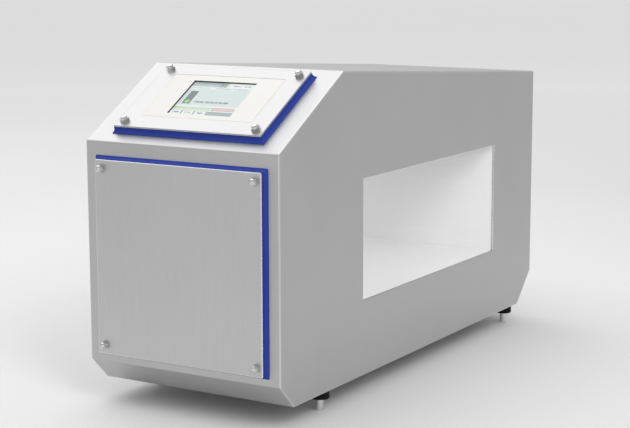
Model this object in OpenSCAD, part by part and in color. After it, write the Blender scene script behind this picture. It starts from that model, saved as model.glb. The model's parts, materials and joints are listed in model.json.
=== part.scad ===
// Industrial metal detector with a rectangular product passage.
// X runs along the product's way, Y from the operator's side to the rear, Z up.
// The origin is on the ground, under the middle of the whole machine.

/* [Housing] */
// Width of the housing, along the product's way
housing_w = 360; // [340:1:420]
// Height of the front face's upper fold above the base
front_h = 393; // [385:1:430]
// Tilt of the console face from level
slope_deg = 30; // [28:0.5:34]
// Fall of the roof towards the rear
roof_deg = 4; // [0:0.5:5]
// Bevel under the front face
front_cut = 39; // [25:1:46]
// Bevel under the rear face
rear_cut = 58; // [40:1:58]
// Thickness of the housing sheet
sheet_t = 3; // [2:0.5:4]
// Inner radius of the folds in the sheet
fold_in_r = 1.5; // [1:0.5:3]

/* [Product passage] */
// Clear width of the passage
passage_w = 500; // [300:10:700]
// Clear height of the passage
passage_h = 200; // [150:5:230]
// Front face to the passage
passage_front = 252.5; // [240:0.5:290]
// Passage to the rear face
passage_back = 175.5; // [140:0.5:220]
// Base to the floor of the passage
passage_floor = 126; // [105:1:145]
// Wall of the passage liner
liner_t = 5; // [3:0.5:6]
// Step back of the liner from the edge of the cut-out
liner_step = 1; // [0.5:0.5:2]
// Thickness of the end flanges of the liner
liner_flange_t = 6; // [4:0.5:8]
// Thickness of the seals between liner and side panels
liner_seal_t = 2; // [1:0.5:3]

/* [Coils] */
// Wall of the winding frame round the liner
former_wall = 16; // [13:0.5:17]
// Depth of the winding grooves
groove_depth = 10; // [6:0.5:11]
// Width of the transmitting coil
sender_w = 26; // [16:1:34]
// Width of a receiving coil
receiver_w = 16; // [10:1:24]
// End of the winding frame to the middle of a receiver
coil_edge = 69; // [50:1:90]
// Corner radius of the windings
winding_r = 12; // [8:1:20]
// Play between a winding and its groove
winding_play = 0.3; // [0.2:0.1:0.5]
// Play round the potting compound
potting_play = 0.3; // [0.2:0.1:0.5]

/* [Service cover] */
// Side of the housing to the cover
cover_side = 25; // [18:0.5:32]
// Fold of the lower bevel to the cover
cover_low = 14.5; // [8:0.5:20]
// Cover to the upper fold of the front face
cover_high = 27.5; // [10:0.5:34]
// Thickness of the cover
cover_t = 3; // [2:0.5:5]
// Thickness of the cover's gasket
cover_seal_t = 8; // [5:0.5:12]
// Flare of the gasket's foot
cover_flare = 5.5; // [3:0.5:6]
// Side edge of the cover to a screw
cover_inset_side = 12; // [11:0.5:14]
// Upper or lower edge of the cover to a screw
cover_inset_end = 14; // [11:0.5:15]
// Edge of the cover to the service opening in the housing
hatch_rim = 30; // [27:0.5:50]

/* [Console] */
// Side of the housing to the console plate
console_side = 42.5; // [36:0.5:48]
// Lower fold of the slope to the console plate
console_start = 25; // [16:0.5:40]
// Console plate to the crown of the housing
console_end = 23.4; // [16:0.1:40]
// Thickness of the console plate
console_t = 3; // [2:0.5:5]
// Thickness of the console's gasket
console_seal_t = 10; // [6:0.5:14]
// Flare of the console gasket's foot
console_flare = 4; // [2:0.5:6]
// Side edge of the console plate to a screw
console_inset_side = 15; // [13:0.5:16]
// Upper or lower edge of the console plate to a screw
console_inset_end = 13.5; // [12:0.5:14]
// Play between the display frame and the opening in the housing
port_play = 3.5; // [2:0.5:4]
// Play between the display frame and the gasket
gasket_play = 4; // [2:0.5:8]

/* [Display] */
// Width of the lit screen
screen_w = 115.2; // [100:0.1:120]
// Height of the lit screen
screen_h = 86.4; // [75:0.1:90]
// Middle of the console plate to the middle of the screen
screen_rise = 0.7; // [0:0.1:1]
// Border of the touch glass round the lit screen
glass_border = 2.6; // [2:0.1:4]
// Thickness of the display panel
panel_t = 7; // [5:0.5:7]
// Border of the display panel round the lit screen
panel_border = 8; // [5:0.5:9]
// Wall of the frame that holds the display panel
holder_wall = 8; // [5:0.5:8]
// Depth of the display frame
holder_depth = 22; // [16:0.5:24]
// Side edge of the console plate to the foil
foil_side = 33.5; // [26:0.5:42]
// Height of the front foil
foil_h = 115; // [100:1:116]
// Middle of the console plate to the middle of the foil
foil_rise = 3; // [0:0.5:5]
// Thickness of the front foil
foil_t = 0.6; // [0.4:0.1:1]

/* [Cap screws] */
// Width across the flats of a screw's hexagon
head_af = 13; // [12:0.5:15]
// Height of the hexagon
head_h = 6; // [4:0.5:8]
// Height of the dome on the hexagon
dome_h = 5; // [3:0.5:6]
// Diameter of the screw's shank
shank_d = 8; // [6:0.5:8]
// Play between a shank and its hole
shank_play = 0.4; // [0.3:0.1:0.6]
// Outer diameter of the threaded bush
bush_d = 14; // [12:0.5:16]
// Length of the threaded bush
bush_len = 18; // [12:1:24]
// Diameter of the bush's flange
bush_flange_d = 20; // [18:0.5:22]
// Thickness of the bush's flange
bush_flange_t = 2; // [1:0.5:3]

/* [Feet] */
// Side of the housing to the middle of a foot
foot_side = 23; // [20:0.5:40]
// Front face to a front foot
foot_front = 153; // [110:1:170]
// Rear face to a rear foot
foot_back = 74; // [74:1:120]
// Diameter of the rubber buffer
buffer_d = 32; // [28:1:34]
// Height of the rubber buffer
buffer_h = 16; // [14:1:24]
// Diameter of the threaded stud
stud_d = 12; // [8:0.5:12]
// Length of the stud below the buffer
stud_len = 20; // [16:1:30]
// Diameter of the threaded stud above the buffer
upper_stud_d = 10; // [8:0.5:11]
// Diameter of the threaded boss above the base
boss_d = 26; // [20:1:28]
// Height of the threaded boss above the base
boss_h = 14; // [10:1:18]

/* [Electronics] */
// Bulkhead's front to the winding frame
bulkhead_gap = 15.5; // [8:0.5:20]
// Thickness of the bulkhead
bulkhead_t = 2; // [1.5:0.5:3]
// Side panel to the mounting plate
carrier_side = 32; // [20:1:40]
// Base to the lower edge of the mounting plate
carrier_start = 50; // [46:1:54]
// Upper edge of the mounting plate to the coil leads that pass over it
carrier_below = 14; // [12:1:18]
// Thickness of the mounting plate
carrier_t = 2; // [1.5:0.5:3]
// Length of the spacers behind the mounting plate
carrier_gap = 15; // [10:1:18]
// Side of the mounting plate to the main board
board_side = 15; // [8:1:20]
// Thickness of the main board
board_t = 1.6; // [1:0.2:2.4]
// Length of the spacers behind the main board
board_gap = 12; // [8:1:14]
// Tallest part on the main board
board_parts_h = 28; // [20:1:34]
// Width of the power supply
supply_w = 150; // [120:1:155]
// Height of the power supply
supply_h = 90; // [70:1:96]
// Depth of the power supply
supply_d = 38; // [30:1:50]
// Width of a terminal
terminal_w = 6; // [5:0.1:6.2]
// Play between two terminals
terminal_play = 0.2; // [0.1:0.1:0.3]

/* [Cable entries] */
// Number of cable glands
gland_count = 3; // [1:1:3]
// Distance between entries
gland_pitch = 50; // [42:1:54]
// Bulkhead to the line of entries
gland_back = 35; // [26:1:60]
// Diameter of a gland's thread
gland_thread_d = 20; // [16:0.5:20]
// Diameter of the cable that a gland takes
gland_bore_d = 9; // [5:0.5:12]
// Shoulder of a gland's hexagon beyond its thread
gland_shoulder = 2; // [1.5:0.5:4]

/* [Hidden] */
$fn = 48;

// Overrun of every cut
over = 1;
// Straight steps in each fold, flare, dome and cable bend
bend_steps = 5;

// Display and console plate, built out from the lit screen
glass_w = screen_w + 2 * glass_border;
glass_h = screen_h + 2 * glass_border;
glass_play = 0.3;
panel_w = screen_w + 2 * panel_border;
panel_h = screen_h + 2 * panel_border;
panel_play = 0.3;
holder_w = panel_w + 2 * (panel_play + holder_wall);
holder_h = panel_h + 2 * (panel_play + holder_wall);
gasket_band = 22;
gasket_lip = 1.2;
seat_play = 0.01;
console_w = housing_w - 2 * console_side;
console_len = holder_h + 2 * (gasket_play + gasket_band);
port_w = holder_w + 2 * port_play;
port_len = holder_h + 2 * port_play;

// Outline of the housing seen from its side, as distances back and up from the front of the base
slope_len = console_start + console_len + console_end;
slope_run = slope_len * cos(slope_deg);
housing_len = passage_front + passage_w + passage_back;
crown_h = front_h + slope_len * sin(slope_deg);
rear_h = crown_h - (housing_len - slope_run) * tan(roof_deg);
OUTLINE = [
    [front_cut, 0], [0, front_cut], [0, front_h], [slope_run, crown_h],
    [housing_len, rear_h], [housing_len, rear_cut], [housing_len - rear_cut, 0]];
fold_out_r = fold_in_r + sheet_t;
inner_w = housing_w - 2 * sheet_t;

// Place of the housing over the ground, with the machine's middle over the origin
stand_h = buffer_h + stud_len;
cover_reach = cover_seal_t + cover_t + head_h + dome_h;
front_y = (cover_reach - housing_len) / 2;

// Passage, liner and winding frame, as distances out from the edge of the cut-out
passage_mid = [passage_front + passage_w / 2, passage_floor + passage_h / 2];
liner_out = liner_step + liner_t;
former_out = liner_out + former_wall;
groove_out = former_out - groove_depth;
liner_len = inner_w - 2 * liner_seal_t;
former_len = liner_len - 2 * liner_flange_t;
coil_pitch = former_len / 2 - coil_edge;
bulkhead_y = passage_front - former_out - bulkhead_gap;

// Service cover and cap screws
cover_w = housing_w - 2 * cover_side;
cover_h = front_h - front_cut - cover_low - cover_high;
cover_mid = front_cut + cover_low + cover_h / 2;
hatch_w = cover_w - 2 * hatch_rim;
hatch_h = cover_h - 2 * hatch_rim;
shank_hole_d = shank_d + 2 * shank_play;
plate_corner_r = 2.5;

// Console, measured up the slope from its lower fold
console_mid = console_start + console_len / 2;
screen_mid = console_mid + screen_rise;
foil_w = console_w - 2 * foil_side;
foil_mid = console_mid + foil_rise;
console_top = console_seal_t + console_t;
holder_back = console_seal_t - holder_depth;
display_board_t = 1.6;
display_board_edge = 3;
display_board_back = holder_back - display_board_t;
socket_size = [30, 12, 8];
socket_wall = 1.5;
socket_floor = 2;
plug_play = 0.4;
plug_len = 16;
lead_d = 6;
display_lead_x = coil_pitch / 2;

// Compartment, measured back from the front face
carrier_w = inner_w - 2 * carrier_side;
carrier_y = bulkhead_y - carrier_gap - carrier_t;
supply_edge = 6;
board_w = carrier_w - 2 * board_side;
board_clear = 10;
board_y = carrier_y - board_gap - board_t;
board_z = carrier_start + supply_edge + supply_h + board_clear;
grommet_z = passage_floor + passage_h + groove_out - 2 * winding_r;
carrier_h = grommet_z - carrier_below - carrier_start;
board_edge = 4;
board_top = carrier_start + carrier_h - board_edge;
board_h = board_top - board_z;
spacer_d = 10;
board_spacer_d = 7;
spacer_inset = 12;
board_spacer_inset = 8;
lead_socket = [22, 12, 14];
lead_y = board_y - lead_socket[1] / 2;
lead_bend_r = 9;
lead_sides = 10;
grommet_d = 14;
grommet_flange_d = 20;
grommet_flange_t = 2;
grommet_play = 0.2;
rail_h = 35;
rail_d = 7.5;
rail_t = 1;
rail_lip = 5;
rail_len = carrier_w - supply_w - 3 * supply_edge;
terminal_h = 46;
terminal_d = 34;
terminal_pitch = terminal_w + terminal_play;
terminal_end = 15;
terminal_count = floor((rail_len - 2 * terminal_end) / terminal_pitch);
supply_x = -carrier_w / 2 + supply_edge;
rail_x = supply_x + supply_w + supply_edge;
supply_lead_share = 0.4;
supply_lead_x = supply_x + supply_lead_share * supply_w;
shield_d = 14;
shield_wall = 1;

// Parts on the main board: left edge and lower edge, width, height and depth
board_parts_share = [
    [0.05, 0.08, 0.10, 0.22, 1.00], [0.18, 0.08, 0.07, 0.15, 0.75], [0.28, 0.10, 0.12, 0.20, 0.30],
    [0.05, 0.40, 0.14, 0.24, 0.20], [0.24, 0.42, 0.12, 0.12, 0.16], [0.44, 0.08, 0.16, 0.10, 0.40],
    [0.90, 0.12, 0.06, 0.60, 0.45]];
capacitor_share = [[0.235, 0.36], [0.40, 0.50], [0.40, 0.70]];
capacitor_d = 12;
capacitor_h = 20;
shield_share = [0.56, 0.30, 0.27, 0.34];

// Cable entries
gland_af = gland_thread_d + 2 * gland_shoulder;
gland_y = bulkhead_y - gland_back;
gland_play = 0.3;
gland_seal_t = 1.5;
gland_hex_h = 6;
gland_dome_h = 14;
gland_dome_top_share = 0.72;
gland_stub = 9;
locknut_h = 4;
plug_cap_h = 7;
earth_d = 6;
earth_len = 34;
earth_nut_af = 10;
earth_nut_h = 5;
earth_below = 20;
earth_play = 0.4;
earth_side = 40;

// Feet
foot_x = housing_w / 2 - foot_side;
foot_rear = housing_len - foot_back;
buffer_edge = 2;
stud_disc_d = buffer_d - 4 * buffer_edge;
stud_disc_t = 2.5;
stud_chamfer = 1.2;
boss_play = 0.3;
stud_hole_play = 0.5;

// Direction of length one
function unit(v) = v / norm(v);

// Way into the housing from the edge that leaves a corner of the outline
function inward(i) =
    let (n = len(OUTLINE), d = unit(OUTLINE[(i + 1) % n] - OUTLINE[(i + n) % n])) [d[1], -d[0]];

// Outline drawn in by a distance
function inset(t) = [
    for (i = [0 : len(OUTLINE) - 1])
        let (a = inward(i - 1 + len(OUTLINE)), b = inward(i)) OUTLINE[i] + t * (a + b) / (1 + a * b)];

// Round corner at b on the way from a to c
function round_corner(a, b, c, r) =
    let (
        u = unit(a - b),
        v = unit(c - b),
        half = acos(u * v) / 2,
        middle = b + unit(u + v) * r / sin(half),
        s = b + u * r / tan(half) - middle,
        e = b + v * r / tan(half) - middle,
        turn = 180 - 2 * half)
    [for (k = [0 : bend_steps])
        middle + (sin((1 - k / bend_steps) * turn) * s + sin(k / bend_steps * turn) * e) / sin(turn)];

// Path with its inner corners rounded
function bent(p, r) = concat(
    [p[0]],
    [for (i = [1 : 1 : len(p) - 2]) each round_corner(p[i - 1], p[i], p[i + 1], r)],
    [p[len(p) - 1]]);

// Corners first to last of an outline, going on past its end
function stretch(p, first, last) = [for (i = [first : last]) p[i % len(p)]];
function backwards(p) = [for (i = [len(p) - 1 : -1 : 0]) p[i]];
function without_last(p) = [for (i = [0 : len(p) - 2]) p[i]];

// Rectangle about the origin with round corners
function round_box(w, h, r) =
    let (p = [[-w / 2, -h / 2], [w / 2, -h / 2], [w / 2, h / 2], [-w / 2, h / 2]])
    [for (i = [0 : 3]) each round_corner(p[(i + 3) % 4], p[i], p[(i + 1) % 4], r)];

// Section of a gasket whose foot flares out
function flare_side(w, h, f) = [
    for (k = [0 : bend_steps])
        [w / 2 + f - f * sin(90 * k / bend_steps),
            gasket_lip + (h - gasket_lip) * (1 - cos(90 * k / bend_steps))]];
function flare_section(w, h, f) =
    let (side = flare_side(w, h, f))
    concat([[-w / 2 - f, 0], [w / 2 + f, 0]], side, [for (p = backwards(side)) [-p[0], p[1]]]);

// Places
module on_body() translate([0, front_y, stand_h]) children();
module on_front(z = 0) translate([0, 0, z]) rotate([90, 0, 0]) children();
module on_slope(u = 0) {
    translate([0, u * cos(slope_deg), front_h + u * sin(slope_deg)]) rotate([slope_deg, 0, 0]) children();
}
module along_x(length) rotate([90, 0, 90]) translate([0, 0, -length / 2]) linear_extrude(length) children();
module at_corners(w, l) for (x = [-1, 1], y = [-1, 1]) translate([x * w / 2, y * l / 2, 0]) children();
module at_feet() {
    for (x = [-1, 1], y = [foot_front, foot_rear]) translate([x * foot_x, y, 0]) children();
}
module at_cover_screws() on_front(cover_mid) {
    at_corners(cover_w - 2 * cover_inset_side, cover_h - 2 * cover_inset_end) children();
}
module at_console_screws() on_slope(console_mid) {
    at_corners(console_w - 2 * console_inset_side, console_len - 2 * console_inset_end) children();
}

// Shapes that repeat
module slab(w, l, t, z, r) translate([0, 0, z]) linear_extrude(t) polygon(round_box(w, l, r));
module block(w, l, t, z) translate([-w / 2, -l / 2, z]) cube([w, l, t]);
module drill(d, from, to) translate([0, 0, from - over]) cylinder(d = d, h = to - from + 2 * over);
module hexagon(af, h) cylinder(d = af / cos(30), h = h, $fn = 6);
module dome(d, h) rotate_extrude() {
    polygon(concat([[0, 0]], [for (k = [0 : bend_steps])
        [d / 2 * cos(90 * k / bend_steps), h * sin(90 * k / bend_steps)]]));
}
module folded_sheet(first, last) {
    outer = bent(stretch(OUTLINE, first, last), fold_out_r);
    inner = bent(stretch(inset(sheet_t), first, last), fold_in_r);
    along_x(inner_w) polygon(concat(outer, backwards(inner)));
}
module passage_box(out) {
    translate(passage_mid - [passage_w / 2 + out, passage_h / 2 + out])
        square([passage_w + 2 * out, passage_h + 2 * out]);
}
module passage_ring(length, inner, outer) along_x(length) difference() {
    passage_box(outer);
    passage_box(inner);
}
module flared_gasket(w, l, h, flare) difference() {
    translate([0, 0, seat_play]) intersection() {
        rotate([90, 0, 0]) translate([0, 0, -l / 2 - flare]) linear_extrude(l + 2 * flare)
            polygon(flare_section(w, h - seat_play, flare));
        along_x(w + 2 * flare) polygon(flare_section(l, h - seat_play, flare));
    }
    block(w - 2 * gasket_band, l - 2 * gasket_band, h + 2 * over, -over);
}
module cap_screw(seat, grip) {
    translate([0, 0, seat]) hexagon(head_af, head_h);
    translate([0, 0, seat + head_h]) dome(head_af, dome_h);
    translate([0, 0, -grip]) cylinder(d = shank_d, h = seat + grip);
}
module bush() translate([0, 0, -sheet_t]) difference() {
    union() {
        translate([0, 0, -bush_flange_t]) cylinder(d = bush_flange_d, h = bush_flange_t);
        translate([0, 0, -bush_len]) cylinder(d = bush_d, h = bush_len);
    }
    drill(shank_hole_d, -bush_len, 0);
}
module lead(route) {
    n = len(route);
    rings = [for (i = [0 : n - 1])
        let (way = unit(route[min(i + 1, n - 1)] - route[max(i - 1, 0)]), side = cross(way, [1, 0, 0]))
        for (k = [0 : lead_sides - 1])
            let (turn = 360 * k / lead_sides)
            route[i] + lead_d / 2 * (cos(turn) * [1, 0, 0] + sin(turn) * side)];
    walls = [for (i = [0 : n - 2], k = [0 : lead_sides - 1])
        let (a = i * lead_sides + k, b = i * lead_sides + (k + 1) % lead_sides)
        each [[a, b, a + lead_sides], [b, b + lead_sides, a + lead_sides]]];
    first_end = [for (k = [1 : lead_sides - 2]) [0, k + 1, k]];
    last = (n - 1) * lead_sides;
    last_end = [for (k = [1 : lead_sides - 2]) [last, last + k, last + k + 1]];
    polyhedron(rings, concat(walls, first_end, last_end));
}

// Housing sheets
module front_wrap() color("gainsboro") on_body() difference() {
    folded_sheet(0, 3);
    on_front(cover_mid) block(hatch_w, hatch_h, sheet_t + 2 * over, -sheet_t - over);
    on_slope(screen_mid) block(port_w, port_len, sheet_t + 2 * over, -sheet_t - over);
    at_cover_screws() drill(shank_hole_d, -sheet_t, 0);
    at_console_screws() drill(shank_hole_d, -sheet_t, 0);
}
module roof_wrap() color("gainsboro") on_body() folded_sheet(3, 5);
module base_wrap() color("gainsboro") on_body() difference() {
    folded_sheet(5, 7);
    at_feet() drill(upper_stud_d + 2 * stud_hole_play, 0, sheet_t);
    at_entries(0, gland_count) drill(gland_thread_d + 2 * gland_play, 0, sheet_t);
    at_earth() drill(earth_d + 2 * earth_play, 0, sheet_t);
}
module side_panel(side) color("silver") on_body() {
    translate([side * (housing_w - sheet_t) / 2, 0, 0]) along_x(sheet_t) difference() {
        polygon(concat(
            without_last(bent(stretch(OUTLINE, 0, 3), fold_out_r)),
            without_last(bent(stretch(OUTLINE, 3, 5), fold_out_r)),
            without_last(bent(stretch(OUTLINE, 5, 7), fold_out_r))));
        passage_box(0);
    }
}
module side_panel_left() side_panel(-1);
module side_panel_right() side_panel(1);

// Product passage
module tunnel_liner() color("white") on_body() {
    passage_ring(liner_len, liner_step, liner_out);
    for (side = [-1, 1]) translate([side * (liner_len - liner_flange_t) / 2, 0, 0])
        passage_ring(liner_flange_t, liner_step, former_out);
}
module liner_seals() color("dimgray") on_body() {
    for (side = [-1, 1]) translate([side * (inner_w - liner_seal_t) / 2, 0, 0])
        passage_ring(liner_seal_t, liner_step, former_out);
}

// Coils
module winding_outline(out) {
    translate(passage_mid) polygon(round_box(passage_w + 2 * out, passage_h + 2 * out,
        winding_r + out - groove_out));
}
module groove(x, w) translate([x, 0, 0]) along_x(w) difference() {
    passage_box(former_out + over);
    winding_outline(groove_out);
}
module coil(x, w) color("peru") on_body() translate([x, 0, 0]) {
    along_x(w - 2 * winding_play) difference() {
        winding_outline(former_out - winding_play);
        winding_outline(groove_out + winding_play);
    }
}
module coil_former() color("khaki") on_body() difference() {
    passage_ring(former_len, liner_out, former_out);
    groove(0, sender_w);
    groove(-coil_pitch, receiver_w);
    groove(coil_pitch, receiver_w);
}
module sender_coil() coil(0, sender_w);
module receiver_coil_left() coil(-coil_pitch, receiver_w);
module receiver_coil_right() coil(coil_pitch, receiver_w);
module potting() color("tan") on_body() {
    potting_y = bulkhead_y + bulkhead_t + potting_play;
    difference() {
        along_x(inner_w - 2 * potting_play) difference() {
            polygon(inset(sheet_t + potting_play + fold_in_r));
            translate([-over, -over]) square([potting_y + over, crown_h + 2 * over]);
            passage_box(former_out + potting_play);
        }
        at_feet() drill(boss_d + 2 * boss_play, 0, sheet_t + boss_h);
        at_coil_leads() translate([0, bulkhead_y, 0]) rotate([-90, 0, 0])
            drill(lead_d + 2 * potting_play, 0, passage_front - bulkhead_y);
        at_coil_leads() translate([0, bulkhead_y + bulkhead_t, 0]) rotate([-90, 0, 0])
            drill(grommet_flange_d + 2 * potting_play, 0, grommet_flange_t);
    }
}

// Bulkhead and the leads through it
module at_coil_leads() for (x = [-coil_pitch, 0, coil_pitch]) translate([x, 0, grommet_z]) children();
module bulkhead() color("silver") on_body() difference() {
    along_x(inner_w) intersection() {
        polygon(inset(sheet_t));
        translate([bulkhead_y, 0]) square([bulkhead_t, crown_h]);
    }
    at_coil_leads() translate([0, bulkhead_y, 0]) rotate([-90, 0, 0])
        drill(grommet_d + 2 * grommet_play, 0, bulkhead_t);
}
module lead_grommets() color("black") on_body() at_coil_leads() {
    translate([0, bulkhead_y, 0]) rotate([-90, 0, 0]) difference() {
        union() {
            cylinder(d = grommet_d, h = bulkhead_t);
            translate([0, 0, -grommet_flange_t]) cylinder(d = grommet_flange_d, h = grommet_flange_t);
            translate([0, 0, bulkhead_t]) cylinder(d = grommet_flange_d, h = grommet_flange_t);
        }
        drill(lead_d + 2 * grommet_play, -grommet_flange_t, bulkhead_t + grommet_flange_t);
    }
}
module coil_leads() color("dimgray") on_body() for (x = [-coil_pitch, 0, coil_pitch]) {
    coil_face = passage_front - former_out + winding_play;
    lead(bent([[x, coil_face, grommet_z], [x, lead_y, grommet_z], [x, lead_y, board_top]], lead_bend_r));
}

// Service cover
module cover_plate() color("lightgray") on_body() difference() {
    on_front(cover_mid) slab(cover_w, cover_h, cover_t, cover_seal_t, plate_corner_r);
    at_cover_screws() drill(shank_hole_d, cover_seal_t, cover_seal_t + cover_t);
}
module cover_gasket() color("royalblue") on_body() difference() {
    on_front(cover_mid) flared_gasket(cover_w, cover_h, cover_seal_t, cover_flare);
    at_cover_screws() drill(shank_hole_d, 0, cover_seal_t);
}
module cover_screws() color("whitesmoke") on_body() {
    at_cover_screws() cap_screw(cover_seal_t + cover_t, sheet_t + bush_len - bush_flange_t);
}
module cover_bushes() color("gray") on_body() at_cover_screws() bush();

// Console
module console_plate() color("lightgray") on_body() difference() {
    on_slope(console_mid) slab(console_w, console_len, console_t, console_seal_t, plate_corner_r);
    on_slope(screen_mid)
        block(glass_w + 2 * glass_play, glass_h + 2 * glass_play, console_t + 2 * over,
            console_seal_t - over);
    at_console_screws() drill(shank_hole_d, console_seal_t, console_top);
}
module console_gasket() color("royalblue") on_body() difference() {
    on_slope(console_mid) flared_gasket(console_w, console_len, console_seal_t, console_flare);
    at_console_screws() drill(shank_hole_d, 0, console_seal_t);
}
module console_screws() color("whitesmoke") on_body() {
    at_console_screws() cap_screw(console_top, sheet_t + bush_len - bush_flange_t);
}
module console_bushes() color("gray") on_body() at_console_screws() bush();
module front_foil() color("ivory") on_body() difference() {
    on_slope(foil_mid) block(foil_w, foil_h, foil_t, console_top);
    on_slope(screen_mid) block(screen_w, screen_h, foil_t + 2 * over, console_top - over);
}
module touch_glass() color("lightblue") on_body() {
    on_slope(screen_mid) block(glass_w, glass_h, console_t, console_seal_t);
}
module display_panel() color("darkslategray") on_body() {
    on_slope(screen_mid) block(panel_w, panel_h, panel_t, console_seal_t - panel_t);
}
module display_frame() color("dimgray") on_body() on_slope(screen_mid) difference() {
    block(holder_w, holder_h, holder_depth, holder_back);
    block(panel_w + 2 * panel_play, panel_h + 2 * panel_play, panel_t + over, console_seal_t - panel_t);
    block(screen_w, screen_h, holder_depth + 2 * over, holder_back - over);
}
module display_board() color("seagreen") on_body() on_slope(screen_mid) {
    block(holder_w - 2 * display_board_edge, holder_h - 2 * display_board_edge, display_board_t,
        display_board_back);
    translate([display_lead_x, 0, 0]) difference() {
        block(socket_size[0], socket_size[1], socket_size[2], display_board_back - socket_size[2]);
        block(socket_size[0] - 2 * socket_wall, socket_size[1] - 2 * socket_wall,
            socket_size[2] - socket_floor + over, display_board_back - socket_size[2] - over);
    }
}
module display_plug() color("black") on_body() on_slope(screen_mid) {
    inside = 2 * (socket_wall + plug_play);
    translate([display_lead_x, 0, 0]) block(socket_size[0] - inside, socket_size[1] - inside,
        plug_len, display_board_back - socket_floor - plug_play - plug_len);
}
module display_lead() color("dimgray") on_body() {
    depth = socket_floor + plug_play + plug_len - display_board_back;
    start = [display_lead_x, screen_mid * cos(slope_deg) + depth * sin(slope_deg),
        front_h + screen_mid * sin(slope_deg) - depth * cos(slope_deg)];
    tail = start + 2 * lead_bend_r * [0, sin(slope_deg), -cos(slope_deg)];
    turn = [display_lead_x, lead_y, (tail[2] + board_top) / 2 + lead_bend_r];
    lead(bent([start, tail, turn, [display_lead_x, lead_y, board_top]], lead_bend_r));
}

// Electronics compartment
module carrier_box(w, h, d, x, z, y) translate([x, y, z]) cube([w, d, h]);
module at_carrier_spacers() {
    translate([0, 0, carrier_start + carrier_h / 2]) rotate([90, 0, 0])
        at_corners(carrier_w - 2 * spacer_inset, carrier_h - 2 * spacer_inset) children();
}
module at_board_spacers() {
    translate([0, 0, board_z + board_h / 2]) rotate([90, 0, 0])
        at_corners(board_w - 2 * board_spacer_inset, board_h - 2 * board_spacer_inset) children();
}
module mounting_plate() color("silver") on_body() {
    carrier_box(carrier_w, carrier_h, carrier_t, -carrier_w / 2, carrier_start, carrier_y);
}
module plate_spacers() color("goldenrod") on_body() at_carrier_spacers() {
    translate([0, 0, -bulkhead_y]) cylinder(d = spacer_d, h = carrier_gap);
}
module main_board() color("seagreen") on_body() {
    carrier_box(board_w, board_h, board_t, -board_w / 2, board_z, board_y);
}
module board_spacers() color("goldenrod") on_body() at_board_spacers() {
    translate([0, 0, -carrier_y]) cylinder(d = board_spacer_d, h = board_gap);
}
module board_parts() color("black") on_body() {
    for (s = board_parts_share) {
        carrier_box(s[2] * board_w, s[3] * board_h, s[4] * board_parts_h, (s[0] - 0.5) * board_w,
            board_z + s[1] * board_h, board_y - s[4] * board_parts_h);
    }
    for (s = capacitor_share) {
        translate([(s[0] - 0.5) * board_w, board_y, board_z + s[1] * board_h]) rotate([90, 0, 0])
            cylinder(d = capacitor_d, h = capacitor_h);
    }
    for (x = [-coil_pitch, 0, display_lead_x, coil_pitch]) {
        carrier_box(lead_socket[0], lead_socket[2], lead_socket[1], x - lead_socket[0] / 2,
            board_top - lead_socket[2], board_y - lead_socket[1]);
    }
}
module signal_shield() color("lightgray") on_body() {
    shield_size = [shield_share[2] * board_w, shield_d, shield_share[3] * board_h];
    shield_x = (shield_share[0] - 0.5) * board_w;
    translate([shield_x, board_y - shield_d, board_z + shield_share[1] * board_h]) difference() {
        cube(shield_size);
        translate([shield_wall, shield_wall, shield_wall])
            cube(shield_size - [2 * shield_wall, shield_wall - over, 2 * shield_wall]);
    }
}
module power_supply() color("lightgray") on_body() {
    carrier_box(supply_w, supply_h, supply_d, supply_x, carrier_start + supply_edge, carrier_y - supply_d);
}
module supply_lead() color("dimgray") on_body() {
    foot = carrier_start + supply_edge + supply_h;
    lead([[supply_lead_x, lead_y, foot], [supply_lead_x, lead_y, (foot + board_z) / 2],
        [supply_lead_x, lead_y, board_z + board_parts_share[1][1] * board_h]]);
}
module din_rail() color("silver") on_body() translate([rail_x, carrier_y, 0]) {
    mid = carrier_start + supply_edge + supply_h / 2;
    rotate([90, 0, 90]) linear_extrude(rail_len) translate([0, mid]) union() {
        translate([-rail_t, rail_lip - rail_h / 2]) square([rail_t, rail_h - 2 * rail_lip]);
        for (side = [-1, 1]) {
            translate([-rail_d, side * (rail_h / 2 - rail_lip) - rail_t / 2]) square([rail_d, rail_t]);
            translate([-rail_d, side * (rail_h - rail_lip) / 2 - rail_lip / 2]) square([rail_t, rail_lip]);
        }
    }
}
module terminals() color("gray") on_body() for (k = [0 : terminal_count - 1]) {
    mid = carrier_start + supply_edge + supply_h / 2;
    carrier_box(terminal_w, terminal_h, terminal_d, rail_x + terminal_end + k * terminal_pitch,
        mid - terminal_h / 2, carrier_y - rail_d - terminal_d);
}

// Cable entries under the compartment
module at_entries(first, last) {
    for (k = [first : last]) translate([(k - gland_count / 2) * gland_pitch, gland_y, 0]) children();
}
module at_earth() translate([earth_side - inner_w / 2, gland_y, 0]) children();
module gland_stem(bore) difference() {
    union() {
        translate([0, 0, -gland_seal_t]) cylinder(d = gland_af, h = gland_seal_t);
        translate([0, 0, -gland_seal_t - gland_hex_h]) hexagon(gland_af, gland_hex_h);
        children();
        cylinder(d = gland_thread_d, h = sheet_t + gland_stub);
    }
    if (bore > 0) drill(bore, -gland_seal_t - gland_hex_h - gland_dome_h, sheet_t + gland_stub);
}
module cable_glands() color("silver") on_body() at_entries(0, gland_count - 1) gland_stem(gland_bore_d) {
    translate([0, 0, -gland_seal_t - gland_hex_h - gland_dome_h])
        cylinder(d1 = gland_af * gland_dome_top_share, d2 = gland_af, h = gland_dome_h);
}
module gland_locknuts() color("silver") on_body() at_entries(0, gland_count) {
    translate([0, 0, sheet_t]) difference() {
        hexagon(gland_af, locknut_h);
        drill(gland_thread_d + 2 * gland_play, 0, locknut_h);
    }
}
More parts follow.
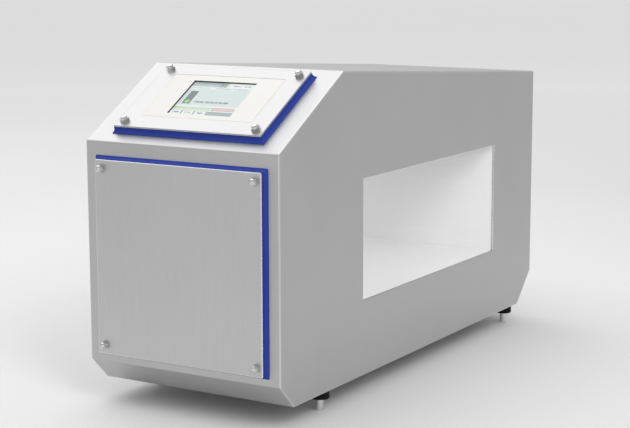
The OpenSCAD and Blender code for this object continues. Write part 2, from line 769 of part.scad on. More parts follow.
module blanking_plug() color("silver") on_body() at_entries(gland_count, gland_count) gland_stem(0) {
    translate([0, 0, -gland_seal_t - gland_hex_h]) mirror([0, 0, 1])
        dome(gland_thread_d, plug_cap_h - gland_hex_h + gland_seal_t);
}
module earth_stud() color("goldenrod") on_body() at_earth() {
    translate([0, 0, -earth_below]) cylinder(d = earth_d, h = earth_len);
    translate([0, 0, -earth_nut_h]) hexagon(earth_nut_af, earth_nut_h);
    translate([0, 0, sheet_t]) hexagon(earth_nut_af, earth_nut_h);
}

// Feet
module foot_buffers() color("black") on_body() at_feet() translate([0, 0, -buffer_h]) difference() {
    rotate_extrude() polygon([[0, 0], [buffer_d / 2 - buffer_edge, 0], [buffer_d / 2, buffer_edge],
        [buffer_d / 2, buffer_h], [0, buffer_h]]);
    translate([0, 0, -over]) cylinder(d = stud_disc_d, h = stud_disc_t + over);
    translate([0, 0, buffer_h - stud_disc_t]) cylinder(d = stud_disc_d, h = stud_disc_t + over);
}
module foot_studs() color("silver") on_body() at_feet() translate([0, 0, -buffer_h]) {
    cylinder(d = stud_disc_d, h = stud_disc_t);
    translate([0, 0, stud_chamfer - stud_len]) cylinder(d = stud_d, h = stud_len - stud_chamfer);
    translate([0, 0, -stud_len]) cylinder(d1 = stud_d - 2 * stud_chamfer, d2 = stud_d, h = stud_chamfer);
}
module foot_upper_studs() color("silver") on_body() at_feet() {
    translate([0, 0, -stud_disc_t]) cylinder(d = stud_disc_d, h = stud_disc_t);
    cylinder(d = upper_stud_d, h = sheet_t + boss_h);
}
module foot_bosses() color("gray") on_body() at_feet() difference() {
    translate([0, 0, sheet_t]) cylinder(d = boss_d, h = boss_h);
    drill(upper_stud_d + 2 * boss_play, sheet_t, sheet_t + boss_h);
}

front_wrap();
roof_wrap();
base_wrap();
side_panel_left();
side_panel_right();
tunnel_liner();
liner_seals();
coil_former();
sender_coil();
receiver_coil_left();
receiver_coil_right();
potting();
bulkhead();
lead_grommets();
cover_plate();
cover_gasket();
cover_screws();
cover_bushes();
console_plate();
console_gasket();
console_screws();
console_bushes();
front_foil();
touch_glass();
display_panel();
display_frame();
display_board();
display_plug();
display_lead();
mounting_plate();
plate_spacers();
main_board();
board_spacers();
board_parts();
signal_shield();
power_supply();
supply_lead();
din_rail();
terminals();
coil_leads();
cable_glands();
gland_locknuts();
blanking_plug();
earth_stud();
foot_buffers();
foot_studs();
foot_upper_studs();
foot_bosses();
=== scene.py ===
import json
from math import acos, cos, pi, radians, sin, sqrt, tan

import bmesh
import bpy
from bpy.props import FloatProperty, FloatVectorProperty, IntProperty, PointerProperty
from mathutils import Matrix, Vector


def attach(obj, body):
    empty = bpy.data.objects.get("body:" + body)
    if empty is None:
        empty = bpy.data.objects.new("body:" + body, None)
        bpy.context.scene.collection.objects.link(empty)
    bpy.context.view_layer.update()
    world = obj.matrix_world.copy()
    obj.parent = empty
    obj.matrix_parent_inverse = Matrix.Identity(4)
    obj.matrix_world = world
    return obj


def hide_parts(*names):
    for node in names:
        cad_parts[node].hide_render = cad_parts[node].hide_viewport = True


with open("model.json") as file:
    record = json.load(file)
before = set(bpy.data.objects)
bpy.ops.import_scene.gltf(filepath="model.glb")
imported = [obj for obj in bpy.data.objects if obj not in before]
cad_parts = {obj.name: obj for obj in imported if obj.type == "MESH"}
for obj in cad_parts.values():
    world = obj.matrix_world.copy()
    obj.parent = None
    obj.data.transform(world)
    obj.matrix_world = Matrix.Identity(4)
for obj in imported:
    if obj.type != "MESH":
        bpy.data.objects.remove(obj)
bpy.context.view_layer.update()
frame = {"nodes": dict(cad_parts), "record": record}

bl_info = {
    "name": "Passage metal detector",
    "version": (1, 0, 0),
    "blender": (4, 5, 0),
    "location": "View3D > Sidebar > Detector",
    "description": "Builds the visible pieces and finishes of a metal detector with a product passage",
    "category": "Object",
}

# Places and sizes of the solids, in metres: back from the front face and up from the base
FRONT_Y = -0.453
STAND_H = 0.036
HALF_W = 0.180
FRONT_H = 0.393
SLOPE = radians(30)
SHEET_T = 0.003
FOLD_R = 0.0045
OUTLINE = [(0.039, 0.0), (0.0, 0.039), (0.0, 0.393), (0.190006, 0.502700),
           (0.928, 0.451094), (0.928, 0.058), (0.870, 0.0)]
PASSAGE = (0.2525, 0.7525, 0.126, 0.326)
COVER_MID = 0.2095
COVER_SIZE = (0.310, 0.312)
COVER_Z = (0.008, 0.011)
COVER_SCREWS = (0.143, 0.142)
CONSOLE_MID = 0.1105
CONSOLE_SIZE = (0.275, 0.171)
CONSOLE_Z = (0.010, 0.013)
CONSOLE_SCREWS = (0.1225, 0.072)
CONSOLE_OPENING = (0.1210, 0.0922)
PLATE_CORNER_R = 0.0025
SCREEN_MID = 0.1112
PANE_SIZE = (0.1204, 0.0916)
PANE_Z = (0.0101, 0.0129)
FOIL_MID = 0.1135
FOIL_SIZE = (0.208, 0.115)
FOIL_Z = (0.01301, 0.01316)
# Clear opening of the foil over the screen, and how much of the screen its near edges hide
WINDOW = (0.1184, 0.0896)
HIDDEN = (0.0030, 0.0039)
GLAND_X = (-0.075, -0.025, 0.025)
PLUG_X = 0.075
EARTH_X = -0.137
ENTRY_Y = 0.180
FOOT_SPOTS = [(x, y) for x in (-0.157, 0.157) for y in (0.153, 0.854)]
COIL_X = (-0.1, 0.0, 0.1)
DISPLAY_LEAD_X = 0.05
CARRIER_Y = 0.198
BOARD_Y = 0.1844
BOARD_TOP = 0.296
HERE = Matrix()
LEAD_R = 0.003
LEAD_BEND_R = 0.009
COIL_FACE_Y = 0.2308
COIL_LEAD_Z = 0.314
SUPPLY_LEAD_X = -0.079
SUPPLY_LEAD_Z = (0.146, 0.1672)
TERMINAL_PITCH = 0.0062


class DetectorSizes(bpy.types.PropertyGroup):
    """Sizes of the visible detail."""
    edge_round: FloatProperty(
        name="Edge rounding", description="Radius of the ground edges of the housing",
        default=0.0022, min=0.0005, max=0.004, unit="LENGTH")
    plate_edge: FloatProperty(
        name="Plate edge", description="Ground rounding round the service cover",
        default=0.0012, min=0.0001, max=0.0014, unit="LENGTH")
    seal_lip: FloatProperty(
        name="Seal lip", description="Height of the upright lip at the foot of a blue seal",
        default=0.0012, min=0.0005, max=0.003, unit="LENGTH")
    screw_flats: FloatProperty(
        name="Screw flats", description="Width across the flats of a cap screw",
        default=0.013, min=0.010, max=0.014, unit="LENGTH")
    screw_head: FloatProperty(
        name="Screw hexagon", description="Height of the hexagon of a cap screw",
        default=0.0056, min=0.004, max=0.006, unit="LENGTH")
    screw_dome: FloatProperty(
        name="Screw dome", description="Height of the dome of a cap screw",
        default=0.0043, min=0.003, max=0.005, unit="LENGTH")
    stud_chamfer: FloatProperty(
        name="Stud chamfer", description="Chamfer at the lower end of the studs under the buffers",
        default=0.0012, min=0.0003, max=0.002, unit="LENGTH")
    terminal_count: IntProperty(
        name="Terminals", description="Number of terminals on the rail", default=14, min=1, max=17)


class DetectorColours(bpy.types.PropertyGroup):
    """Colours of the visible finishes."""
    housing: FloatVectorProperty(
        name="Housing", description="Bead-blasted stainless steel", subtype="COLOR", size=3,
        default=(0.53, 0.53, 0.53), min=0, max=1)
    plate: FloatVectorProperty(
        name="Plates", description="Brushed stainless steel of cover and console plate",
        subtype="COLOR", size=3, default=(0.56, 0.56, 0.56), min=0, max=1)
    seal: FloatVectorProperty(
        name="Blue seal", description="Blue silicone of the seals under cover and console",
        subtype="COLOR", size=3, default=(0.012, 0.034, 0.255), min=0, max=1)
    liner: FloatVectorProperty(
        name="Passage liner", description="Smooth white plastic of the passage",
        subtype="COLOR", size=3, default=(0.84, 0.84, 0.84), min=0, max=1)
    foil: FloatVectorProperty(
        name="Front foil", description="Cream foil round the screen",
        subtype="COLOR", size=3, default=(0.58, 0.573, 0.553), min=0, max=1)
    floor: FloatVectorProperty(
        name="Floor", description="Pale floor of the stage",
        subtype="COLOR", size=3, default=(0.62, 0.62, 0.62), min=0, max=1)
    backdrop: FloatVectorProperty(
        name="Backdrop", description="Far part of the floor, behind the machine",
        subtype="COLOR", size=3, default=(0.80, 0.80, 0.80), min=0, max=1)


def sizes():
    return bpy.context.scene.detector_sizes


def tint(colour, share=1.0):
    """A share of a colour, which is given as it is or by the name of its property."""
    if isinstance(colour, str):
        colour = getattr(bpy.context.scene.detector_colours, colour)
    return tuple(min(1.0, c * share) for c in colour[:3])


# Node trees

class Wire:
    """An output socket that can be used in sums like a number."""

    def __init__(self, graph, socket):
        self.graph = graph
        self.socket = socket

    def maths(self, operation, *values):
        return self.graph.node("ShaderNodeMath", dict(enumerate(values)), operation=operation)

    def __add__(self, other):
        return self.maths("ADD", self, other)

    def __sub__(self, other):
        return self.maths("SUBTRACT", self, other)

    def __rsub__(self, other):
        return self.maths("SUBTRACT", other, self)

    def __mul__(self, other):
        return self.maths("MULTIPLY", self, other)

    def near(self, value, reach):
        return self.maths("COMPARE", self, value, reach)

    def above(self, value):
        return self.maths("GREATER_THAN", self, value)

    def fraction(self):
        return self.maths("FRACT", self)

    def largest(self, other):
        return self.maths("MAXIMUM", self, other)


class Graph:
    """Adds nodes to a tree from their type, inputs and settings."""

    def __init__(self, tree):
        self.tree = tree

    def node(self, kind, inputs=None, output=0, **settings):
        node = self.tree.nodes.new(kind)
        for key, value in settings.items():
            setattr(node, key, value)
        for key, value in (inputs or {}).items():
            self.feed(node, key, value)
        return Wire(self, self.find(node.outputs, output))

    def find(self, sockets, key):
        if isinstance(key, int):
            return [s for s in sockets if s.enabled][key]
        return next(s for s in sockets if s.enabled and s.name == key)

    def feed(self, node, key, value):
        socket = self.find(node.inputs, key)
        for one in value if isinstance(value, list) else [value]:
            if isinstance(one, Wire):
                self.tree.links.new(one.socket, socket)
            else:
                socket.default_value = one

    def output_of(self, wire, name):
        return Wire(self, self.find(wire.socket.node.outputs, name))


class Finish(Graph):
    """A material whose pattern lies on the object's own coordinates."""

    INPUTS = {"colour": "Base Color", "roughness": "Roughness", "metallic": "Metallic", "normal": "Normal",
              "coat": "Coat Weight", "coat_roughness": "Coat Roughness", "alpha": "Alpha",
              "glow": "Emission Color", "glow_strength": "Emission Strength",
              "specular": "Specular IOR Level"}

    def __init__(self, name, *grains):
        self.material = bpy.data.materials.new(name)
        self.material.use_nodes = True
        super().__init__(self.material.node_tree)
        self.tree.nodes.clear()
        self.surface = self.tree.nodes.new("ShaderNodeBsdfPrincipled")
        end = self.tree.nodes.new("ShaderNodeOutputMaterial")
        self.tree.links.new(self.surface.outputs[0], end.inputs[0])
        self.place = self.node("ShaderNodeTexCoord", output="Object")
        self.grains = [self.noise(*grain) for grain in grains]

    def mapped(self, scale=(1, 1, 1), move=(0, 0, 0), turn=(0, 0, 0), kind="POINT"):
        return self.node("ShaderNodeMapping", {
            "Vector": self.place, "Location": move, "Rotation": turn, "Scale": scale}, vector_type=kind)

    def noise(self, scale, detail, rough, vector=None):
        return self.node("ShaderNodeTexNoise", {
            "Vector": vector or self.place, "Scale": scale, "Detail": detail, "Roughness": rough})

    def cells(self, scale, vector=None, output="Distance"):
        return self.node("ShaderNodeTexVoronoi", {"Vector": vector or self.place, "Scale": scale}, output)

    def flakes(self, scale):
        return self.parts(self.cells(scale, output="Color"))[0]

    def parts(self, vector):
        split = self.node("ShaderNodeSeparateXYZ", {"Vector": vector})
        return split, self.output_of(split, "Y"), self.output_of(split, "Z")

    def spread(self, value, to_low=0.0, to_high=1.0, low=0.3, high=0.7):
        return self.node("ShaderNodeMapRange", {
            "Value": value, "From Min": low, "From Max": high, "To Min": to_low, "To Max": to_high})

    def mix(self, factor, a, b):
        a, b = (c if isinstance(c, Wire) else (*c[:3], 1.0) for c in (a, b))
        return self.node("ShaderNodeMix", {"Factor": factor, "A": a, "B": b}, "Result", data_type="RGBA")

    def bump(self, height, depth, strength):
        return self.node("ShaderNodeBump", {"Height": height, "Distance": depth, "Strength": strength})

    def weigh(self, shares):
        """Sum of the grains, each times its share."""
        total = None
        for grain, share in zip(self.grains, shares):
            if share:
                part = grain if share == 1 else grain * share
                total = total + part if total else part
        return total

    def set(self, **values):
        for key, value in values.items():
            if key in ("colour", "glow") and not isinstance(value, Wire):
                value = (*value[:3], 1.0)
            self.feed(self.surface, self.INPUTS[key], value)
        return self.material

    def dress(self, dark, pale, tone, rough, relief, **more):
        """Colour between two, roughness and relief, each from the grains' shares and then its limits."""
        level = self.weigh(tone[0])
        if tone[1:]:
            level = self.spread(level, 0.0, 1.0, *tone[1:])
        return self.set(
            colour=self.mix(level, dark, pale), roughness=self.spread(self.weigh(rough[0]), *rough[1:]),
            normal=self.bump(self.weigh(relief[0]), *relief[1:]), **more)


# Finishes

def satin_steel(name):
    f = Finish(name, (5.0, 3.0, 0.55), (28.0, 4.0, 0.6), (1500.0, 2.0, 0.5))
    f.grains.append(f.cells(900.0))
    return f.dress(tint("housing", 0.95), tint("housing", 1.05), ((0.6, 0.25, 0.15), 0.3, 0.7),
                   ((0.5, 0.5), 0.40, 0.50), ((0, 0, 0.6, 0.4), 0.00006, 0.45), metallic=1.0)


def brushed(name, turn, share):
    f = Finish(name)
    streaks = f.node("ShaderNodeVectorMath", {0: f.mapped(turn=(turn, 0, 0)), 1: (1, 1, 0.012)},
                     operation="MULTIPLY")
    f.grains = [f.noise(1700.0, 3.0, 0.65, streaks), f.noise(160.0, 3.0, 0.6, streaks),
                f.noise(7.0, 3.0, 0.5)]
    # A share below one darkens a copy of the plate steel; on the console plate this is painted shade against
    # the stronger light on the slope
    steel = tint("plate", share)
    return f.dress(tint(steel, 0.94), tint(steel, 1.05), ((0.6, 0.12, 0.28), 0.32, 0.68),
                   ((0.5, 0, 0.5), 0.30, 0.42), ((0.9, 0.1), 0.00004, 0.4), metallic=1.0)


def ground(name, level, low, high):
    """Steel dressed with a grinding disc, at a given level; on edges the level is also painted light: paler
    for painted highlights, darker for painted shade.
    """
    steel = (level, level, level)
    return Finish(name, (900.0, 3.0, 0.6), (60.0, 3.0, 0.6)).dress(
        tint(steel, 0.92), tint(steel, 1.08), ((0.5, 0.5),), ((1,), low, high), ((1,), 0.00003, 0.3),
        metallic=1.0)


def polished_steel(name):
    return Finish(name, (2600.0, 2.0, 0.5), (180.0, 3.0, 0.6)).dress(
        (0.56, 0.56, 0.555), (0.68, 0.68, 0.675), ((0, 1),), ((0, 1), 0.14, 0.24), ((1,), 0.00002, 0.25),
        metallic=1.0)


def zinc_steel(name):
    f = Finish(name, (30.0, 3.0, 0.6), (1200.0, 2.0, 0.5))
    f.grains.insert(0, f.flakes(110.0))
    return f.dress((0.50, 0.52, 0.54), (0.66, 0.68, 0.70), ((0.6, 0.4),), ((0.5, 0.5), 0.30, 0.46, 0.2, 0.8),
                   ((0.4, 0, 0.6), 0.00004, 0.35), metallic=1.0)


def rubber(name, colour, low, high, grain, dust, shine=0.5):
    colour = tint(colour)
    dusty = tuple(c + (0.5 - c) * dust for c in colour)
    return Finish(name, (22.0, 4.0, 0.6), (grain, 3.0, 0.6)).dress(
        colour, dusty, ((0.7, 0.3), 0.42, 0.75), ((0.5, 0.5), low, high), ((0.3, 0.7), 0.00008, 0.4),
        specular=shine)


def liner_white(name):
    f = Finish(name, (6.0, 3.0, 0.5), (700.0, 2.0, 0.5))
    f.grains.insert(0, f.noise(260.0, 4.0, 0.65, f.mapped(scale=(0.03, 1, 1))))
    return f.dress(tint("liner"), tint("liner", 0.955), ((0.5, 0.5), 0.35, 0.7), ((0.6, 0, 0.4), 0.36, 0.52),
                   ((0.7, 0, 0.3), 0.00007, 0.35), specular=0.4)


def laminate(name):
    f = Finish(name, (420.0, 3.0, 0.6))
    weave = f.node("ShaderNodeTexBrick", {
        "Vector": f.mapped(turn=(0.0, radians(90), 0.0)), "Scale": 260.0, "Color1": (0.62, 0.53, 0.34, 1),
        "Color2": (0.70, 0.61, 0.42, 1), "Mortar": (0.52, 0.44, 0.27, 1)}, "Color")
    return f.dress(weave, (0.58, 0.50, 0.32), ((0.3,),), ((1,), 0.45, 0.6), ((1,), 0.0001, 0.4))


def copper_winding(name):
    return Finish(name, (36.0, 2.0, 0.5), (340.0, 3.0, 0.6)).dress(
        (0.55, 0.23, 0.10), (0.78, 0.40, 0.20), ((0.6, 0.4),), ((0, 1), 0.26, 0.4), ((0, 1), 0.00005, 0.3),
        metallic=0.85, coat=0.4, coat_roughness=0.15)


def resin(name):
    return Finish(name, (14.0, 5.0, 0.6), (500.0, 2.0, 0.6)).dress(
        (0.44, 0.36, 0.27), (0.60, 0.52, 0.40), ((1,), 0.3, 0.7), ((1,), 0.34, 0.6),
        ((0.5, 0.5), 0.0003, 0.4))


def plastic(name, colour, low=0.35, high=0.5, grain=1200.0):
    return Finish(name, (40.0, 3.0, 0.6), (grain, 2.0, 0.5)).dress(
        tint(colour, 0.86), tint(colour, 1.12), ((0.6, 0.4), 0.3, 0.7), ((0.5, 0.5), low, high),
        ((0, 1), 0.00006, 0.4))


def brass(name):
    f = Finish(name, (60.0, 4.0, 0.6))
    f.grains.insert(0, f.noise(900.0, 2.0, 0.5, f.mapped(scale=(0.2, 0.2, 1))))
    return f.dress((0.78, 0.60, 0.26), (0.56, 0.42, 0.20), ((0, 1), 0.35, 0.7), ((0.5, 0.5), 0.2, 0.38),
                   ((1,), 0.00004, 0.4), metallic=1.0)


def circuit_board(name, turn):
    f = Finish(name)
    flat = f.mapped(turn=(turn, 0, 0))
    x, y, z = f.parts(flat)
    wander = f.noise(70.0, 0.0, 0.5, flat)
    lanes, crossings = ((way * 380.0 + wander * 7.0).fraction().above(0.62) for way in (x, z))
    pick = f.noise(34.0, 0.0, 0.5, flat).above(0.5)
    tracks = lanes * pick + crossings * (1 - pick)
    pads = 1 - f.cells(240.0, flat).above(0.16)
    lacquer = f.mix(tracks * 0.8, (0.010, 0.115, 0.050), (0.028, 0.22, 0.10))
    return f.set(colour=f.mix(pads * 0.85, lacquer, (0.62, 0.56, 0.40)), metallic=pads * 0.6,
                 roughness=f.spread(tracks + pads, 0.32, 0.24, 0.0, 1.0),
                 normal=f.bump(tracks * 0.6 + pads, 0.00008, 0.5), coat=0.3, coat_roughness=0.2)


def cream_foil(name):
    """Foil with painted shade: a dark line along its upper edge and faint ones at its sides, standing in for
    the shaded walls of a recess.
    """
    f = Finish(name, (18.0, 3.0, 0.5), (1400.0, 2.0, 0.5))
    middle = slope_matrix(FOIL_MID) @ Vector((0, 0, 0.0132))
    x, y, z = f.parts(f.mapped(move=middle, turn=(SLOPE, 0, 0), kind="TEXTURE"))
    # Painted shade: dark lines at the upper edge and, fainter, at the sides, for the shaded walls of a recess
    side = x.maths("ABSOLUTE", x).above(FOIL_SIZE[0] / 2 - 0.0006) * 0.12
    line = y.above(FOIL_SIZE[1] / 2 - 0.0009).largest(side)
    face = f.mix(f.spread(f.weigh((0.7, 0.3))), tint("foil", 0.985), tint("foil", 1.01))
    return f.set(colour=f.mix(line, face, (0.16, 0.16, 0.17)),
                 roughness=f.spread(f.weigh((0.4, 0.6)), 0.50, 0.64),
                 normal=f.bump(f.weigh((0, 1)), 0.00004, 0.35), specular=0.3)


def touch_pane(name):
    f = Finish(name)
    film = f.noise(40.0, 3.0, 0.6)
    return f.set(colour=(0.75, 0.82, 0.82), roughness=f.spread(film, 0.08, 0.16), alpha=0.06,
                 normal=f.bump(film, 0.00002, 0.2), specular=0.4)


TAB = (0.88, 0.90, 0.90)
GAP = (0.16, 0.20, 0.20)
INK = (0.12, 0.14, 0.15)
# Fields of the operating picture from left, right, lower and upper edge, as shares, and their colours
FIELDS = [
    (0.42, 0.445, 0.875, 0.985, (0.30, 0.40, 0.41)), (0.46, 0.50, 0.875, 0.985, (0.20, 0.28, 0.29)),
    (0.515, 0.55, 0.875, 0.985, (0.24, 0.33, 0.34)), (0.565, 0.60, 0.865, 1.0, (0.68, 0.78, 0.52)),
    (0.60, 1.0, 0.865, 1.0, (0.88, 0.91, 0.91)), (0.0, 1.0, 0.790, 0.865, (0.84, 0.88, 0.88)),
    (0.065, 0.190, 0.320, 0.720, (0.07, 0.10, 0.10)), (0.0, 1.0, 0.240, 0.280, (0.86, 0.89, 0.88)),
    (0.0, 1.0, 0.112, 0.240, (0.80, 0.84, 0.82)), (0.0, 0.605, 0.145, 0.232, (0.56, 0.74, 0.49)),
    (0.625, 0.985, 0.145, 0.230, (0.60, 0.30, 0.30)), (0.640, 0.970, 0.165, 0.210, (0.76, 0.60, 0.58)),
    (0.0, 1.0, 0.0, 0.112, (0.30, 0.39, 0.39)),
    (0.0, 0.175, 0.0, 0.104, TAB), (0.195, 0.375, 0.0, 0.104, TAB), (0.395, 0.575, 0.0, 0.104, TAB),
    (0.175, 0.195, 0.0, 0.104, GAP), (0.375, 0.395, 0.0, 0.104, GAP)]
# Rows of marks that stand for writing, in the same form
WRITING = [
    (0.66, 0.80, 0.905, 0.940, (0.20, 0.25, 0.26)), (0.84, 0.96, 0.905, 0.940, (0.26, 0.30, 0.31)),
    (0.03, 0.33, 0.810, 0.840, (0.40, 0.46, 0.47)), (0.42, 0.96, 0.810, 0.840, (0.38, 0.43, 0.44)),
    (0.25, 0.80, 0.364, 0.416, (0.06, 0.08, 0.09)), (0.04, 0.14, 0.036, 0.072, INK),
    (0.23, 0.34, 0.036, 0.072, INK), (0.43, 0.54, 0.036, 0.072, INK)]
# Round lamps: middle, square of the radius and colour
LAMPS = [(0.13, 0.392, 0.0024, (0.20, 0.70, 0.16)), (0.03, 0.188, 0.0007, (0.24, 0.72, 0.20))]


def lit_screen(name):
    """Neutral operating picture: fields, lamps, tabs and rows that stand for writing."""
    f = Finish(name)
    middle = screen_matrix() @ Vector((0, 0, 0.010))
    x, y, z = f.parts(f.mapped(move=middle, turn=(SLOPE, 0, 0), kind="TEXTURE"))
    u = (x + WINDOW[0] / 2) * (1 / (WINDOW[0] - HIDDEN[0]))
    v = (y + (WINDOW[1] / 2 - HIDDEN[1])) * (1 / (WINDOW[1] - HIDDEN[1]))
    marks = f.noise(900.0, 2.0, 0.7, f.mapped(scale=(1, 0.02, 0.02))).above(0.47)

    def area(u0, u1, v0, v1):
        return u.near((u0 + u1) / 2, (u1 - u0) / 2) * v.near((v0 + v1) / 2, (v1 - v0) / 2)

    cloud = f.noise(30.0, 2.0, 0.5)
    picture = f.mix(f.spread(cloud), (0.64, 0.74, 0.75), (0.68, 0.77, 0.77))
    heading = f.mix(f.spread(v, low=0.86, high=1.0), (0.50, 0.61, 0.61), (0.28, 0.38, 0.39))
    picture = f.mix(area(0.0, 0.565, 0.865, 1.0), picture, heading)
    for *edges, colour in FIELDS:
        picture = f.mix(area(*edges), picture, colour)
    for *edges, colour in WRITING:
        picture = f.mix(area(*edges) * marks, picture, colour)
    for u0, v0, reach, colour in LAMPS:
        across, up = (u - u0) * (0.1152 / 0.0864), v - v0
        picture = f.mix(1 - (across * across + up * up).above(reach), picture, colour)
    return f.set(colour=(0.03, 0.03, 0.03), glow=picture, glow_strength=0.81,
                 roughness=f.spread(cloud, 0.20, 0.28), specular=0.15)


def perforated(name):
    """Zinc sheet with a field of round holes, for the power supply's case; the holes are flat near-black
    spots, painted shade of the inside.
    """
    f = Finish(name)
    x, y, z = f.parts(f.mapped())
    a, b = ((way * 160.0).fraction() - 0.5 for way in (x, z))
    # Painted shade: the holes are dark spots standing for the shaded inside of the case seen through them
    hole = 1 - (a * a + b * b).above(0.075)
    flake = f.flakes(120.0)
    sheet = f.mix(flake, (0.52, 0.54, 0.56), (0.64, 0.66, 0.68))
    return f.set(colour=f.mix(hole, sheet, (0.02, 0.02, 0.02)), metallic=1 - hole,
                 roughness=f.spread(flake, 0.32, 0.45, 0.0, 1.0), normal=f.bump(1 - hole, 0.0006, 0.8))


RECIPES = {
    "satin_steel": (satin_steel,),
    "brushed_cover": (brushed, 0.0, 1.0),
    # Console copy of the plate steel, darkened as painted shade against the brighter light on the slope
    "brushed_console": (brushed, radians(60), 0.86),
    "polished_steel": (polished_steel,),
    # Ground edges of the passage cut and the cover plate; their paler tone is partly a painted highlight
    "ground_edge": (ground, 0.80, 0.22, 0.32),
    # Ground weld seams along the housing's edges; their paler tone is partly a painted highlight
    "ground_seam": (ground, 0.64, 0.28, 0.38),
    # Painted shade: steel darkened for a shadow line on the console plate's rim and the passage cut's lower
    # edge
    "sheet_rim": (ground, 0.36, 0.30, 0.42),
    # Painted highlight: steel lightened for the lit sides of the console plate
    "sheet_side": (ground, 0.92, 0.34, 0.46),
    "stud_steel": (ground, 0.74, 0.26, 0.36),
    "zinc_steel": (zinc_steel,),
    "blue_seal": (rubber, "seal", 0.42, 0.58, 700.0, 0.02, 0.22),
    "black_rubber": (rubber, (0.005, 0.005, 0.005), 0.45, 0.65, 900.0, 0.012, 0.10),
    "grey_seal": (rubber, (0.40, 0.40, 0.40), 0.5, 0.7, 700.0, 0.1),
    "liner_white": (liner_white,),
    "frame_plastic": (laminate,),
    "copper_winding": (copper_winding,),
    "resin": (resin,),
    "cable_jacket": (plastic, (0.035, 0.036, 0.040)),
    "brass": (brass,),
    "board_green": (circuit_board, 0.0),
    "display_board_green": (circuit_board, radians(60)),
    "component_black": (plastic, (0.026, 0.026, 0.029), 0.35, 0.5, 1500.0),
    "connector_green": (plastic, (0.05, 0.33, 0.12)),
    "connector_white": (plastic, (0.72, 0.70, 0.64)),
    "relay_amber": (plastic, (0.62, 0.30, 0.045), 0.3, 0.45),
    "relay_blue": (plastic, (0.04, 0.12, 0.38), 0.3, 0.45),
    "terminal_grey": (plastic, (0.34, 0.35, 0.36), 0.4, 0.55, 1000.0),
    "foil_cream": (cream_foil,),
    "screen_glass": (touch_pane,),
    "screen_face": (lit_screen,),
    "panel_dark": (plastic, (0.030, 0.031, 0.034), 0.4, 0.6, 900.0),
    "supply_case": (perforated,),
}
MATERIALS = {}


def finish(name):
    """The finish of that name, made when it is first asked for."""
    if name not in MATERIALS:
        recipe, *values = RECIPES[name]
        MATERIALS[name] = recipe(name, *values)
    return MATERIALS[name]


# Places

def body_matrix(x=0.0, y=0.0, z=0.0):
    return Matrix.Translation((x, y + FRONT_Y, z + STAND_H))


def front_matrix(z):
    return body_matrix(0, 0, z) @ Matrix.Rotation(radians(90), 4, "X")


def slope_matrix(u):
    return body_matrix(0, u * cos(SLOPE), FRONT_H + u * sin(SLOPE)) @ Matrix.Rotation(SLOPE, 4, "X")


def screen_matrix():
    return slope_matrix(SCREEN_MID)


def corners(x, y):
    return [(side * x, end * y) for side in (-1, 1) for end in (-1, 1)]


# Mesh work

def linked(name, data):
    obj = bpy.data.objects.new(name, data)
    bpy.context.scene.collection.objects.link(obj)
    return obj


def plain_mesh(obj):
    """Mesh of an object with its modifiers applied; the object goes."""
    graph = bpy.context.evaluated_depsgraph_get()
    mesh = bpy.data.meshes.new_from_object(obj.evaluated_get(graph), depsgraph=graph)
    obj.modifiers.clear()
    bpy.data.objects.remove(obj)
    return mesh


def modified(mesh, *steps):
    """Plain result of (kind, settings) modifiers on a mesh."""
    obj = linked("workpiece", mesh)
    for kind, settings in steps:
        modifier = obj.modifiers.new(kind.lower(), kind)
        for key, value in settings.items():
            setattr(modifier, key, value)
    return plain_mesh(obj)


def carved(mesh, tools, *steps):
    """A mesh less the solids of the tools, with further modifiers after that."""
    tools = [linked("tool", new_mesh(bm)) for bm in tools]
    cuts = [("BOOLEAN", {"operation": "DIFFERENCE", "solver": "EXACT", "object": tool}) for tool in tools]
    mesh = modified(mesh, *cuts, *steps)
    for tool in tools:
        bpy.data.objects.remove(tool)
    return mesh


def hand_over(name, mesh, body, slot, *nodes, smooth=32.0):
    """Turns a mesh in its final place into a piece that rides on a body and stands for CAD nodes.

    Large faces keep their own direction, so the rounding shades only along the edges."""
    mesh.polygons.foreach_set("use_smooth", [True] * len(mesh.polygons))
    mesh.set_sharp_from_angle(angle=radians(smooth))
    mesh = modified(mesh, ("WEIGHTED_NORMAL", {"keep_sharp": True, "weight": 100}))
    mesh.update()
    obj = linked(name, mesh)
    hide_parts(*nodes)
    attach(obj, body)


def new_mesh(bm, finishes=(), matrix=HERE):
    mesh = bpy.data.meshes.new("mesh")
    bm.transform(matrix)
    bmesh.ops.recalc_face_normals(bm, faces=bm.faces)
    bm.to_mesh(mesh)
    bm.free()
    for name in finishes:
        mesh.materials.append(finish(name))
    return mesh


def loft(bm, rings, matrix=HERE, ends="both"):
    """Skin over rings of points, flat at both ends, at the start or at the end, or joined end to start."""
    made = [[bm.verts.new(matrix @ Vector(p)) for p in points] for points in rings]
    if ends == "joined":
        made.append(made[0])
    for a, b in zip(made, made[1:]):
        for i in range(len(a)):
            j = (i + 1) % len(a)
            bm.faces.new((a[i], a[j], b[j], b[i]))
    if ends in ("both", "start"):
        bm.faces.new(made[0][::-1])
    if ends in ("both", "end"):
        bm.faces.new(made[-1])


def lathe(bm, profile, steps, matrix, ends="both"):
    """Turns (radius, height) points about Z."""
    turns = [(cos(2 * pi * k / steps), sin(2 * pi * k / steps)) for k in range(steps)]
    loft(bm, [[(r * c, r * s, z) for c, s in turns] for r, z in profile], matrix, ends)


def hoop(bm, profile, steps, matrix):
    """Turns a closed (radius, height) outline about Z."""
    lathe(bm, profile, steps, matrix, "joined")


def rounded_rectangle(w, l, r, steps):
    points = []
    for k, (sx, sy) in enumerate([(1, 1), (-1, 1), (-1, -1), (1, -1)]):
        for i in range(steps + 1):
            a = radians(90 * k + 90 * i / steps)
            points.append((sx * (w / 2 - r) + r * cos(a), sy * (l / 2 - r) + r * sin(a)))
    return points


